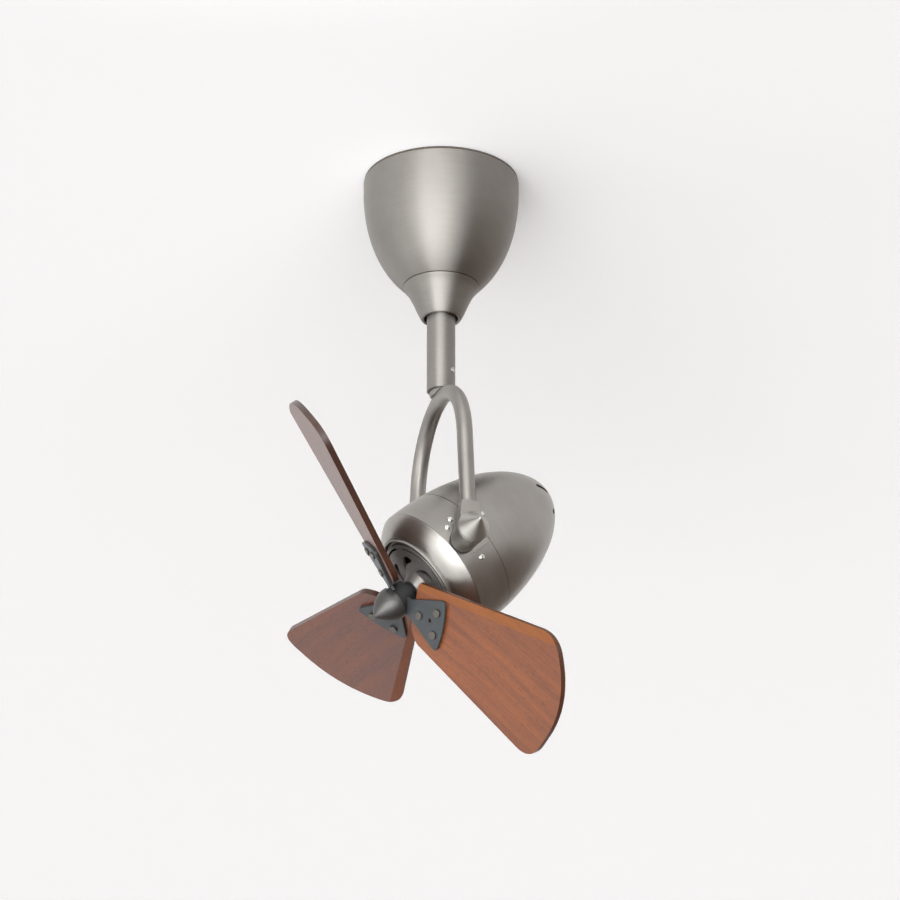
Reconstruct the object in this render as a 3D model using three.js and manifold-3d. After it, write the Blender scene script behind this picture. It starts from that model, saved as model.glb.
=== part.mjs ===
// Small directional ceiling fan: canopy, downrod, tilting yoke and motor head with three blades.
// Millimetres, +Z up. The origin is the centre of the face that meets the ceiling.
import * as THREE from 'three';
import { mergeVertices } from 'three/addons/utils/BufferGeometryUtils.js';
import Module from 'manifold-3d';

const wasm = await Module();
wasm.setup();

// Shared clearances and counts
const fit = 0.3;
const running_gap = 0.6;
const overrun = 3;
const weld = 0.0002;
const round_sides = 32;
const middle_sides = 18;
const small_sides = 14;
const screw_sides = 8;
const hexagon_sides = 6;
const corner_steps = 4;
const degree = Math.PI / 180;
const right_angle = Math.PI / 2;

// Ceiling bracket
const bracket_thickness = 2.5;
const bracket_top_half = 48;
const bracket_foot_half = 28;
const bracket_half_width = 13;
const bracket_slot_place = 37;
const bracket_slot_length = 12;
const bracket_slot_width = 5;
const wire_hole_place = 20;
const wire_hole_radius = 5;
const seat_thickness = 5.8;
const seat_radius = 30;

// Canopy, its gasket and the lower collar
const gasket_thickness = 2;
const gasket_step = 0.5;
const gasket_width = 4;
const canopy_radius = 70;
const canopy_depth = 106;
const canopy_skirt = 12;
const canopy_neck_radius = 34;
const canopy_wall = 1.6;
const canopy_steps = 8;
const canopy_pull_radius_shares = [1, 0.829];
const canopy_pull_depth_shares = [0.472, 0.802];
const collar_length = 31;
const collar_end_radius = 17.6;
const collar_wall = 1.4;
const collar_radius_shares = [1, 0.73, 0.44, 0.17, 0];
const collar_depth_shares = [0, 0.19, 0.5, 0.84, 1];
const canopy_screw_place = 24.2;
const canopy_screw_radius = 2;
const canopy_screw_head = 3.2;
const canopy_screw_head_depth = 1.8;

// Hanger ball, its pin and the downrod
const ball_radius = 24;
const ball_rise = 22;
const ball_top_cut = 15;
const ball_bottom_cut = 17;
const pin_radius = 3;
const pin_inset = 2.5;
const pin_rise = 5;
const rod_radius = 12.7;
const rod_wall = 2.2;
const rod_stand = 20;
const rod_length = 145;
const collar_gap = 2.6;
const seat_gap = 3.5;
const flange_gap = 5.3;
const set_screw_rise = 18;
const set_screw_radius = 2.2;
const set_screw_azimuth = -54;
const set_screw_stand = 0.8;
const set_screw_socket = 1.1;
const set_screw_socket_depth = 1.5;
const ball_centre_depth = canopy_depth - ball_rise;
const pin_depth = ball_centre_depth - pin_rise;
const rod_top_depth = ball_centre_depth - rod_stand;
const rod_bottom_depth = rod_top_depth + rod_length;
const collar_opening = rod_radius + collar_gap;
const flange_opening = rod_radius + flange_gap;

// Yoke: stem, bent tube, end sockets, caps, bolts and washers
const stem_length = 44;
const stem_bore = 4;
const stem_drop = 5.5;
const stem_groove_width = 5.6;
const stem_groove_depth = 1.8;
const stem_chamfer = 1;
const tube_radius = 7;
const tube_wall = 1.6;
const tube_curve_steps = 6;
const yoke_side_gap = 9;
const yoke_splay = 7;
const yoke_bend_steps = 16;
const yoke_drop = 169;
const leg_steps = 2;
const boss_radius = 13.7;
const boss_root_radius = 10.8;
const boss_gap = 1.8;
const boss_reach = 12.3;
const boss_chamfer = 0.8;
const sleeve_wall = 1.1;
const sleeve_rise = 29;
const sleeve_chamfer = 0.6;
const sleeve_seat_rise = 16.5;
const fairing_rise = 27;
const fairing_half = 8.2;
const fairing_base_half = 10.5;
const fairing_depth = 12.3;
const fairing_corner_radius = 2.5;
const counterbore_radius = 9.6;
const counterbore_depth = 13;
const cap_rim = 1.6;
const cap_height = 21;
const cap_tip_radius = 1.4;
const cap_spigot = 4;
const bolt_radius = 4;
const bolt_head_radius = 6.6;
const bolt_head_depth = 5.5;
const bolt_stop = 1.5;
const washer_radius = 11.2;
const washer_thickness = 1.1;

// Motor head: its axis is local +Z, forwards; the pivot axis crosses it at the local origin
const head_tilt = 41.5;
const housing_radius = 62;
const housing_wide_place = -2;
const housing_nose_length = 124;
const housing_wall = 2.2;
const housing_seam = -23;
const housing_rear_steps = 9;
const housing_front_steps = 2;
const pad_radius = 10.6;
const land_half_width = 13.8;
const land_rear = -20.5;
const land_front = -2;
const land_drop = 0.8;
const bezel_start = 11.3;
const bezel_step = 1.5;
const bezel_end = 25.2;
const bezel_steps = 4;
const bezel_pull_radius_shares = [0.79, 0.36];
const bezel_pull_length_shares = [0.4, 0.83];
const lip_radius = 45.1;
const lip_width = 1.5;
const lip_front = 28.4;
const lip_groove = 24.4;
const vent_ring_radius = 20.5;
const vent_width = 3.2;
const vent_sweep = 28;
const vent_depth_share = 0.8;
const vent_angles = [-88, -145, 88, 145];

// Front cover with its slots
const cover_rim_front = 24;
const cover_thickness = 2.4;
const cover_face = 28;
const cover_groove_width = 2.8;
const cover_boss_wall = 2.1;
const cover_boss_foot = 1.1;
const cover_boss_neck = 4;
const cover_boss_front = 36;
const cover_boss_depth = 4;
const arc_slot_radius = 36.8;
const arc_slot_width = 1.9;
const arc_slot_sweep = 44;
const arc_slot_phase = 3.5;
const comma_count = 6;
const comma_phase = 7;
const comma_inner = 14.9;
const comma_outer = 29.3;
const comma_sweep = 55;
const comma_radius_shares = [1, 0.92, 0.65, 0.27, 0, 0.18, 0.44, 0.58, 0.76, 0.94];
const comma_turn_shares = [0.82, 0.62, 0.44, 0.22, 0, 0.25, 0.6, 0.82, 1, 0.96];

// Motor
const shaft_radius = 5;
const shaft_rear_stand = 4;
const shaft_front_stand = 4.8;
const bearing_radius = 11;
const bearing_width = 7;
const front_bearing_place = 12;
const rear_bearing_stand = 3.4;
const stator_depth = 19;
const stator_rear = -38;
const stator_front = -4;
const rotor_overhang = 1.5;
const winding_stand = 2;
const winding_rim = 4;
const winding_depth = 9;
const rear_cover_thickness = 3;
const rear_cover_rim = 3.5;
const bearing_boss_wall = 3;
const capacitor_length = 34;
const capacitor_width = 15;
const capacitor_height = 18;
const capacitor_inset = 23;
const pivot_plate_half_width = 26;
const pivot_plate_thickness = 6.2;
const pivot_plate_rear = -38;
const pivot_plate_front = 9;
const side_screw_radius = 1.5;
const side_screw_head = 2.7;
const side_screw_head_depth = 1.3;
const side_screw_length = 7.5;
const side_screw_places = { upper: [-7, 22], inner: [1, 17.7], lower: [-7, -20.5], rear: [-33, 9.5] };

// Rotor: hub, blade irons, blades, screws and spinner
const blade_plane = 50;
const blade_pitch = -21;
const blade_phase = -28.2;
const blade_turns = [4.6, -0.4, 1.2];
const hub_neck_radius = 8;
const hub_radius = 13;
const hub_rear_stand = 8.5;
const hub_front_stand = 6.2;
const blade_thickness = 5.5;
const blade_tip_radius = 195.6;
const blade_root_gap = 5.4;
const blade_root_slant = 8.4;
const blade_root_rear_half = 24.4;
const blade_root_half = 30;
const blade_root_nose_half = 18;
const blade_front_tip_half = 68.2;
const blade_rear_tip_half = 55.4;
const blade_tip_corner = 177.3;
const blade_corner_radius = 18.8;
const blade_root_corner_radius = 5;
const blade_root_rear_radius = 1.5;
const blade_tip_round_share = 0.75;
const blade_curve_steps = 5;
const iron_thickness = 2.5;
const iron_inner_gap = 1.8;
const iron_outer = 58;
const iron_neck_half = 7.5;
const iron_neck_end = 15;
const iron_outer_half = 26;
const iron_outer_bulge = 4;
const iron_corner_radius = 7;
const iron_bulge_radius = 14;
const iron_hole_radius = 1.9;
const iron_hole_place = 41;
const blade_screw_radius = 2;
const blade_screw_head = 3.7;
const blade_screw_head_depth = 1.6;
const blade_screw_tip = 3.2;
const blade_screw_chamfer = 0.5;
const inner_screw_place = 28.4;
const inner_screw_offset = -1.5;
const outer_screw_place = 47.8;
const outer_screw_half = 10.8;
const spinner_radius = 14.9;
const spinner_length = 23.8;
const spinner_steps = 6;
const spinner_power = 0.82;
const spinner_tip_radius = 0.7;
const hub_front = blade_plane + hub_front_stand;
const shaft_front = hub_front + shaft_front_stand;
const iron_inner = shaft_radius + iron_inner_gap;
const blade_screw_places = [
  [inner_screw_place, inner_screw_offset],
  [outer_screw_place, outer_screw_half],
  [outer_screw_place, -outer_screw_half],
];

// Finishes, from the photograph
const nickel = { color: 0xa9a59e, roughness: 0.38, metalness: 1 };
const steel = { color: 0x9a9a9a, roughness: 0.45, metalness: 1 };
const zinc = { color: 0xb8b8b4, roughness: 0.35, metalness: 1 };
const gunmetal = { color: 0x55504c, roughness: 0.45, metalness: 0.8 };
const slate = { color: 0x4b5054, roughness: 0.55, metalness: 0.3 };
const mahogany = { color: 0x8a4a2a, roughness: 0.5, metalness: 0 };
const rubber = { color: 0x2b2a28, roughness: 0.9, metalness: 0 };
const copper = { color: 0xa85a32, roughness: 0.5, metalness: 0.9 };
const laminate = { color: 0x5d5f62, roughness: 0.6, metalness: 0.9 };
const diecast = { color: 0x8d8f91, roughness: 0.55, metalness: 0.9 };
const plastic = { color: 0x1f2124, roughness: 0.6, metalness: 0 };

// Solids: every shape is a closed geometry, and cuts and joins go through a manifold and back
function toManifold(geometry) {
  const bare = new THREE.BufferGeometry();
  bare.setAttribute('position', geometry.getAttribute('position'));
  if (geometry.index) bare.setIndex(geometry.index);
  const welded = mergeVertices(bare, weld);
  const corners = welded.index.array;
  const kept = [];
  for (let i = 0; i < corners.length; i += 3) {
    const [a, b, c] = [corners[i], corners[i + 1], corners[i + 2]];
    if (a !== b && b !== c && c !== a) kept.push(a, b, c);
  }
  const mesh = new wasm.Mesh({
    numProp: 3,
    vertProperties: Float32Array.from(welded.getAttribute('position').array),
    triVerts: Uint32Array.from(kept),
  });
  return new wasm.Manifold(mesh);
}

function toGeometry(manifold) {
  const mesh = manifold.getMesh();
  const geometry = new THREE.BufferGeometry();
  geometry.setAttribute('position', new THREE.BufferAttribute(mesh.vertProperties, 3));
  geometry.setIndex(new THREE.BufferAttribute(mesh.triVerts, 1));
  return geometry;
}

function cut(body, ...tools) {
  return toGeometry(tools.reduce((left, tool) => left.subtract(toManifold(tool)), toManifold(body)));
}

function join(body, ...others) {
  return toGeometry(others.reduce((whole, other) => whole.add(toManifold(other)), toManifold(body)));
}

function meet(body, other) {
  return toGeometry(toManifold(body).intersect(toManifold(other)));
}

// A profile of [radius, height] points turned about Z, up the outside and down the inside
function turned(profile, sides) {
  const points = profile.map(([radius, height]) => new THREE.Vector2(radius, height));
  return new THREE.LatheGeometry(points, sides).rotateX(right_angle);
}

function disc(radius, low, high, sides = small_sides) {
  return turned([[0, low], [radius, low], [radius, high], [0, high]], sides);
}

function ring(outer, inner, low, high, sides = round_sides) {
  return turned([[inner, low], [outer, low], [outer, high], [inner, high], [inner, low]], sides);
}

function box(x0, x1, y0, y1, z0, z1) {
  const block = new THREE.BoxGeometry(x1 - x0, y1 - y0, z1 - z0);
  return block.translate((x0 + x1) / 2, (y0 + y1) / 2, (z0 + z1) / 2);
}

function plate(shape, low, high, curveSegments = corner_steps) {
  const options = { depth: high - low, bevelEnabled: false, curveSegments };
  return new THREE.ExtrudeGeometry(shape, options).translate(0, 0, low);
}

// Points moved to their left by a distance, for the inside of a shell
function inset(points, distance) {
  return points.map(([x, y], i) => {
    const [ax, ay] = points[Math.max(i - 1, 0)];
    const [bx, by] = points[Math.min(i + 1, points.length - 1)];
    const run = Math.hypot(bx - ax, by - ay);
    return [x - (by - ay) / run * distance, y + (bx - ax) / run * distance];
  });
}

function curve(start, pull_a, pull_b, end, steps) {
  const controls = [start, pull_a, pull_b, end].map(([x, y]) => new THREE.Vector2(x, y));
  return new THREE.CubicBezierCurve(...controls).getPoints(steps).map((point) => [point.x, point.y]);
}

// A flat outline whose corners are rounded; each corner is [x, y, radius]
function rounded(corners) {
  const shape = new THREE.Shape();
  corners.forEach(([x, y, radius], i) => {
    const [px, py] = corners[(i + corners.length - 1) % corners.length];
    const [nx, ny] = corners[(i + 1) % corners.length];
    const corner = new THREE.Vector2(x, y);
    const to_last = new THREE.Vector2(px - x, py - y).setLength(radius).add(corner);
    const to_next = new THREE.Vector2(nx - x, ny - y).setLength(radius).add(corner);
    if (i === 0) shape.moveTo(to_last.x, to_last.y);
    else shape.lineTo(to_last.x, to_last.y);
    shape.quadraticCurveTo(x, y, to_next.x, to_next.y);
  });
  shape.closePath();
  return shape;
}

function piece(name, geometry, finish) {
  geometry.computeVertexNormals();
  const mesh = new THREE.Mesh(geometry, new THREE.MeshStandardMaterial(finish));
  mesh.name = name;
  return mesh;
}

// Ceiling bracket: a bent strap with the ball's seat at its foot
function ceilingBracket() {
  const foot = -canopy_depth + canopy_wall + fit;
  const strap = new THREE.Shape([
    new THREE.Vector2(-bracket_top_half, 0),
    new THREE.Vector2(-bracket_foot_half, foot),
    new THREE.Vector2(bracket_foot_half, foot),
    new THREE.Vector2(bracket_top_half, 0),
  ]);
  strap.holes.push(new THREE.Path([
    new THREE.Vector2(-bracket_top_half + bracket_thickness, -bracket_thickness),
    new THREE.Vector2(bracket_top_half - bracket_thickness, -bracket_thickness),
    new THREE.Vector2(bracket_foot_half - bracket_thickness, foot + seat_thickness),
    new THREE.Vector2(-bracket_foot_half + bracket_thickness, foot + seat_thickness),
  ]));
  const bent = plate(strap, -bracket_half_width, bracket_half_width).rotateX(right_angle);
  const seat = disc(seat_radius, foot, foot + seat_thickness, round_sides);
  const socket = new THREE.SphereGeometry(ball_radius + fit, middle_sides, small_sides);
  const opening = disc(rod_radius + seat_gap, foot - overrun, foot + seat_thickness + overrun, round_sides);
  const wire_hole = disc(wire_hole_radius, -bracket_thickness - overrun, overrun);
  const slots = [-1, 1].map((side) => box(
    side * bracket_slot_place - bracket_slot_width / 2, side * bracket_slot_place + bracket_slot_width / 2,
    -bracket_slot_length / 2, bracket_slot_length / 2, -bracket_thickness - overrun, overrun));
  const threads = [-1, 1].map((side) => disc(canopy_screw_radius + fit, foot - overrun,
    foot + seat_thickness - fit, screw_sides).translate(0, side * canopy_screw_place, 0));
  return cut(join(bent, seat), socket.translate(0, 0, -ball_centre_depth), opening,
    wire_hole.translate(wire_hole_place, 0, 0), ...slots, ...threads);
}

function canopy() {
  const start = [canopy_radius, -canopy_skirt];
  const end = [canopy_neck_radius, -canopy_depth];
  const pulls = canopy_pull_radius_shares.map((share, i) => [
    canopy_radius * share, -canopy_depth * canopy_pull_depth_shares[i]]);
  const outside = curve(end, pulls[1], pulls[0], start, canopy_steps);
  outside.push([canopy_radius, -gasket_thickness - fit]);
  const inside = inset(outside, canopy_wall).reverse();
  const floor = inside.length - 1;
  inside[floor] = [inside[floor][0], -canopy_depth + canopy_wall];
  const profile = [[flange_opening, -canopy_depth], ...outside, ...inside,
    [flange_opening, -canopy_depth + canopy_wall], [flange_opening, -canopy_depth]];
  const holes = [-1, 1].map((side) => disc(canopy_screw_radius + fit, -canopy_depth - overrun,
    -canopy_depth + canopy_wall + overrun, screw_sides).translate(0, side * canopy_screw_place, 0));
  return cut(turned(profile, round_sides), ...holes);
}

function collar() {
  const top = -canopy_depth - fit;
  const reach = canopy_neck_radius - collar_end_radius;
  const outside = collar_radius_shares.map((share, i) => [
    collar_end_radius + reach * share, top - collar_length * collar_depth_shares[i]]).reverse();
  const inside = inset(outside, collar_wall).reverse();
  inside[0] = [inside[0][0], top];
  inside[inside.length - 1] = [collar_opening, top - collar_length + collar_wall];
  const lower_edge = [collar_opening, top - collar_length];
  return turned([lower_edge, ...outside, ...inside, lower_edge], round_sides);
}

function canopyScrew() {
  const under = -canopy_depth - fit;
  const crown = under - canopy_screw_head_depth;
  const tip = -canopy_depth + canopy_wall + seat_thickness - fit;
  return turned([[0, crown], [canopy_screw_head / 2, crown],
    [canopy_screw_head, (under + crown) / 2], [canopy_screw_head, under],
    [canopy_screw_radius, under], [canopy_screw_radius, tip], [0, tip]], screw_sides);
}

function hangerBall() {
  const ball = new THREE.SphereGeometry(ball_radius, middle_sides, small_sides);
  const reach = ball_radius + overrun;
  const core = disc(reach, -ball_bottom_cut, ball_top_cut, round_sides);
  const bore = disc(rod_radius + fit, -reach, reach, round_sides);
  const drilled = cut(meet(ball, core), bore).translate(0, 0, -ball_centre_depth);
  return cut(drilled, atPin(disc(pin_radius + fit, -reach, reach, screw_sides)));
}

// A shape built along +Z laid along the hanger pin
function atPin(geometry) {
  return geometry.rotateX(right_angle).translate(0, 0, -pin_depth);
}

function hangerPin() {
  const half = ball_radius - pin_inset;
  return atPin(disc(pin_radius, -half, half, screw_sides));
}

function downrod() {
  const tube = ring(rod_radius, rod_radius - rod_wall, -rod_bottom_depth, -rod_top_depth, middle_sides);
  const pin_way = disc(pin_radius + fit, -ball_radius, ball_radius, screw_sides);
  const screw_way = disc(set_screw_radius + fit, 0, rod_radius + overrun, screw_sides);
  return cut(tube, atPin(pin_way), atSetScrew(screw_way));
}

// A shape built along +Z laid along the set screw's direction, out of the rod
function atSetScrew(geometry) {
  return geometry.rotateY(right_angle).rotateZ(set_screw_azimuth * degree)
    .translate(0, 0, -rod_bottom_depth + set_screw_rise);
}

function rodSetScrew() {
  const tip = rod_radius - rod_wall - stem_groove_depth;
  const end = rod_radius + set_screw_stand;
  const body = disc(set_screw_radius, tip, end, screw_sides);
  const socket = disc(set_screw_socket, end - set_screw_socket_depth, end + overrun, hexagon_sides);
  return atSetScrew(cut(body, socket));
}

// Yoke
const pivot_depth = rod_bottom_depth + yoke_drop;
const yoke_bend_radius = housing_radius + yoke_side_gap;
const tube_centre_depth = rod_bottom_depth + tube_radius + fit;
const bend_centre_depth = tube_centre_depth + yoke_bend_radius;
const leg_start_half = yoke_bend_radius * Math.cos(yoke_splay * degree);
const leg_start_depth = bend_centre_depth - yoke_bend_radius * Math.sin(yoke_splay * degree);
const leg_end_depth = pivot_depth - sleeve_seat_rise - fit;
const boss_inner = housing_radius + boss_gap;
const boss_outer = legHalf(pivot_depth) + boss_reach;

function legHalf(depth) {
  return leg_start_half + (depth - leg_start_depth) * Math.tan(yoke_splay * degree);
}

function yokeStem() {
  const radius = rod_radius - rod_wall - fit;
  const top = -rod_bottom_depth + stem_length;
  const groove = -rod_bottom_depth + set_screw_rise;
  const neck = radius - stem_groove_depth;
  const low = -rod_bottom_depth - stem_drop;
  const body = turned([[stem_bore, low], [radius, low], [radius, groove - stem_groove_width / 2],
    [neck, groove - stem_groove_width / 2], [neck, groove + stem_groove_width / 2],
    [radius, groove + stem_groove_width / 2], [radius, top - stem_chamfer], [radius - stem_chamfer, top],
    [stem_bore, top], [stem_bore, low]], middle_sides);
  const saddle = disc(tube_radius + fit, -yoke_bend_radius / 2, yoke_bend_radius / 2, middle_sides)
    .rotateX(right_angle).translate(0, 0, -tube_centre_depth);
  return cut(body, saddle);
}

function yokePath() {
  const points = [];
  for (let i = 0; i <= leg_steps; i += 1) {
    const depth = leg_end_depth + (leg_start_depth - leg_end_depth) * i / leg_steps;
    points.push(new THREE.Vector3(0, -legHalf(depth), -depth));
  }
  for (let i = 1; i < yoke_bend_steps; i += 1) {
    const angle = (yoke_splay + (180 - 2 * yoke_splay) * i / yoke_bend_steps) * degree;
    points.push(new THREE.Vector3(0, -yoke_bend_radius * Math.cos(angle),
      -bend_centre_depth + yoke_bend_radius * Math.sin(angle)));
  }
  for (let i = 0; i <= leg_steps; i += 1) {
    const depth = leg_start_depth + (leg_end_depth - leg_start_depth) * i / leg_steps;
    points.push(new THREE.Vector3(0, legHalf(depth), -depth));
  }
  return new THREE.CatmullRomCurve3(points);
}

function yokeTube() {
  const section = new THREE.Shape().absarc(0, 0, tube_radius, 0, 2 * Math.PI);
  section.holes.push(new THREE.Path().absarc(0, 0, tube_radius - tube_wall, 0, 2 * Math.PI, true));
  return new THREE.ExtrudeGeometry(section, {
    steps: yoke_bend_steps + 2 * leg_steps,
    extrudePath: yokePath(),
    bevelEnabled: false,
    curveSegments: tube_curve_steps,
  });
}

// The near socket, built about the pivot axis, which runs along -Y from the middle
function yokeBoss() {
  const barrel = turned([[0, boss_inner], [boss_root_radius, boss_inner],
    [boss_radius, boss_outer - boss_chamfer], [boss_radius - boss_chamfer, boss_outer],
    [0, boss_outer]], middle_sides).rotateX(right_angle);
  const seat_half = legHalf(pivot_depth);
  const sleeve_radius = tube_radius + fit + sleeve_wall;
  const sleeve = turned([[0, 0], [sleeve_radius, 0], [sleeve_radius, sleeve_rise - sleeve_chamfer],
    [sleeve_radius - sleeve_chamfer, sleeve_rise], [0, sleeve_rise]], small_sides);
  const hole = disc(tube_radius + fit, sleeve_seat_rise, sleeve_rise + overrun, small_sides);
  const fairing = plate(rounded([[-fairing_base_half, 0, 0], [fairing_base_half, 0, 0],
    [fairing_half, fairing_rise, fairing_corner_radius],
    [-fairing_half, fairing_rise, fairing_corner_radius]]), -fairing_depth, sleeve_radius)
    .rotateX(right_angle);
  const lean = (geometry) => geometry.rotateX(-yoke_splay * degree).translate(0, -seat_half, 0);
  const bore = disc(bolt_radius + fit, 0, boss_outer + overrun).rotateX(right_angle);
  const counterbore = disc(counterbore_radius, boss_outer - counterbore_depth, boss_outer + overrun);
  return cut(join(barrel, lean(sleeve), lean(fairing)), lean(hole), bore, counterbore.rotateX(right_angle));
}

function coneCap() {
  const base = boss_outer + fit;
  const spigot = counterbore_radius - fit;
  return turned([[0, base - cap_spigot], [spigot, base - cap_spigot], [spigot, base], [boss_radius, base],
    [boss_radius, base + cap_rim], [cap_tip_radius, base + cap_height - cap_tip_radius / 2],
    [cap_tip_radius / 2, base + cap_height], [0, base + cap_height]], middle_sides).rotateX(right_angle);
}

function pivotBolt() {
  const under = boss_outer - counterbore_depth + fit;
  const crown = under + bolt_head_depth;
  const tip = stator_radius + bolt_stop;
  return turned([[0, tip], [bolt_radius, tip], [bolt_radius, under], [bolt_head_radius, under],
    [bolt_head_radius, crown], [0, crown]], screw_sides).rotateX(right_angle);
}

function pivotWasher() {
  const face = boss_inner - fit;
  const flat = ring(washer_radius, bolt_radius + fit, face - washer_thickness, face, middle_sides);
  return flat.rotateX(right_angle);
}

// Motor head: the stator fills the housing inside the pivot plates
const pivot_plate_reach = housingRadius(pivot_plate_rear) - housing_wall - running_gap;
const stator_radius = pivot_plate_reach - pivot_plate_thickness - fit;
const stator_bore = stator_radius - stator_depth;

function housingRadius(place) {
  const share = (place - housing_wide_place) / housing_nose_length;
  return housing_radius * Math.sqrt(Math.max(1 - share * share, 0));
}

function noseProfile(start_place, radius, length) {
  const first = Math.asin((housing_wide_place - start_place) / length);
  const points = [];
  for (let i = 0; i <= housing_rear_steps; i += 1) {
    const angle = first + (right_angle - first) * i / housing_rear_steps;
    points.push([radius * Math.cos(angle), housing_wide_place - length * Math.sin(angle)]);
  }
  points[housing_rear_steps][0] = 0;
  return points;
}

function housingRear() {
  const start = housing_seam - fit;
  const outside = noseProfile(start, housing_radius, housing_nose_length);
  const inside = noseProfile(start, housing_radius - housing_wall, housing_nose_length - housing_wall);
  const body = turned([...outside.reverse(), ...inside], round_sides);
  const vents = vent_angles.map((angle) => plate(arcSlot(vent_ring_radius, vent_width, vent_sweep),
    -housing_nose_length - overrun, -housing_nose_length * vent_depth_share).rotateZ(angle * degree));
  return cut(body, ...vents, ...screwWays(['rear']));
}

function housingFront() {
  const outside = [];
  for (let i = 0; i <= housing_front_steps; i += 1) {
    const place = housing_seam + (bezel_start - fit - housing_seam) * i / housing_front_steps;
    outside.push([housingRadius(place), place]);
  }
  const inside = outside.map(([radius, place]) => [radius - housing_wall, place]).reverse();
  const body = turned([...outside, ...inside, outside[0]], round_sides);
  const pad_face = boss_inner - 2 * fit - washer_thickness;
  const room = disc(housing_radius - housing_wall, housing_seam - overrun, bezel_start, round_sides);
  const land = box(-land_half_width, land_half_width, land_drop - pad_face, 0, land_rear, land_front);
  const pads = [0, Math.PI].map((turn) => cut(join(
    disc(pad_radius, stator_radius, pad_face, middle_sides).rotateX(right_angle), land), room)
    .rotateZ(turn));
  const bores = [1, -1].map((side) => disc(bolt_radius + fit, 0, boss_inner).rotateX(side * right_angle));
  return cut(join(body, ...pads), ...bores, ...screwWays(['upper', 'inner', 'lower']));
}

function frontBezel() {
  const start = [housingRadius(bezel_start), bezel_start];
  const end = [lip_radius + bezel_step, bezel_end];
  const between = (i) => [
    end[0] + (start[0] - end[0]) * bezel_pull_radius_shares[i],
    start[1] + (end[1] - start[1]) * bezel_pull_length_shares[i]];
  const shoulder = curve(start, between(0), between(1), end, bezel_steps);
  const inside = inset(shoulder, housing_wall).reverse();
  inside[inside.length - 1] = [start[0] - housing_wall, bezel_start];
  const back = inside[0][1] - housing_wall;
  const lip_inner = lip_radius - lip_width;
  return turned([...shoulder, [lip_radius, lip_groove], [lip_radius, lip_front], [lip_inner, lip_front],
    [lip_inner, back], [inside[0][0], back], ...inside, start], round_sides);
}

// A curved slot of round ends about the head's axis, centred on +X
function arcSlot(radius, width, sweep) {
  const half = sweep * degree / 2;
  const outline = new THREE.Shape();
  outline.absarc(0, 0, radius + width / 2, -half, half, false);
  outline.absarc(0, 0, radius - width / 2, half, -half, true);
  outline.closePath();
  return outline;
}

// A comma: a fat head near the rim, whose tail sweeps in to a point near the middle
function commaSlot() {
  return new THREE.Shape(comma_radius_shares.map((share, i) => {
    const radius = comma_inner + (comma_outer - comma_inner) * share;
    const angle = -comma_sweep * degree * comma_turn_shares[i];
    return new THREE.Vector2(radius, 0).rotateAround(new THREE.Vector2(), angle);
  }));
}

function frontCover() {
  const rim = lip_radius - lip_width - fit;
  const edge = rim - cover_groove_width;
  const bore = bearing_radius + fit;
  const boss = bore + cover_boss_wall;
  const boss_rear = front_bearing_place - cover_boss_depth;
  const bearing_front = front_bearing_place + bearing_width + fit;
  const body = turned([
    [bore, boss_rear], [boss, boss_rear], [boss, cover_face - cover_thickness],
    [edge - cover_thickness, cover_face - cover_thickness],
    [edge - cover_thickness, cover_rim_front - cover_thickness],
    [rim, cover_rim_front - cover_thickness], [rim, cover_rim_front], [edge, cover_rim_front],
    [edge, cover_face], [boss + cover_boss_foot, cover_face],
    [boss - cover_boss_neck, cover_boss_front], [shaft_radius + running_gap, cover_boss_front],
    [shaft_radius + running_gap, bearing_front], [bore, bearing_front], [bore, boss_rear]], round_sides);
  const slots = [];
  for (let i = 0; i < comma_count; i += 1) {
    const arc = plate(arcSlot(arc_slot_radius, arc_slot_width, arc_slot_sweep), boss_rear, cover_boss_front);
    const comma = plate(commaSlot(), boss_rear, cover_boss_front);
    slots.push(arc.rotateZ((arc_slot_phase + 360 * i / comma_count) * degree));
    slots.push(comma.rotateZ((comma_phase + 360 * i / comma_count) * degree));
  }
  return cut(body, ...slots);
}

// The places along the head's axis of the rear cover's outer face and the rear bearing's back
const rear_cover_back = stator_rear - winding_depth - 2 * fit - rear_cover_thickness;
const rear_bearing_place = rear_cover_back - rear_bearing_stand;

function motorShaft() {
  return disc(shaft_radius, rear_bearing_place - shaft_rear_stand, shaft_front);
}

function bearing(place) {
  return ring(bearing_radius, shaft_radius + fit, place, place + bearing_width, middle_sides);
}

function rearCover() {
  const bore = bearing_radius + fit;
  const boss = bore + bearing_boss_wall;
  const rim_inner = stator_radius - rear_cover_rim;
  const floor = rear_cover_back + rear_cover_thickness;
  return turned([
    [bore, rear_bearing_place], [boss, rear_bearing_place], [boss, rear_cover_back],
    [stator_radius, rear_cover_back], [stator_radius, stator_rear - fit], [rim_inner, stator_rear - fit],
    [rim_inner, floor], [bore, floor], [bore, rear_bearing_place]], middle_sides);
}

function capacitor() {
  const seat = rear_cover_back - fit;
  const place = stator_radius - capacitor_inset;
  return box(place - capacitor_width / 2, place + capacitor_width / 2,
    -capacitor_length / 2, capacitor_length / 2, seat - capacitor_height, seat);
}

// The plate inside the near side that the pivot bolt and side screws thread into
function pivotPlate() {
  const [rear, front] = [pivot_plate_rear, pivot_plate_front];
  const slab = box(-pivot_plate_half_width, pivot_plate_half_width, -pivot_plate_reach, 0, rear, front);
  const rim = ring(pivot_plate_reach, stator_radius + fit, rear - overrun, front + overrun);
  const bore = disc(bolt_radius + fit, 0, boss_inner).rotateX(right_angle);
  return cut(meet(slab, rim), bore, ...screwWays(Object.keys(side_screw_places)));
}

// Side screws stand square to the housing on both sides of the head
function atSideScrew(geometry, place, offset) {
  const seat = housingRadius(place);
  const angle = Math.asin(offset / seat);
  return geometry.rotateX(right_angle).rotateZ(angle).translate(0, 0, place);
}

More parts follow.
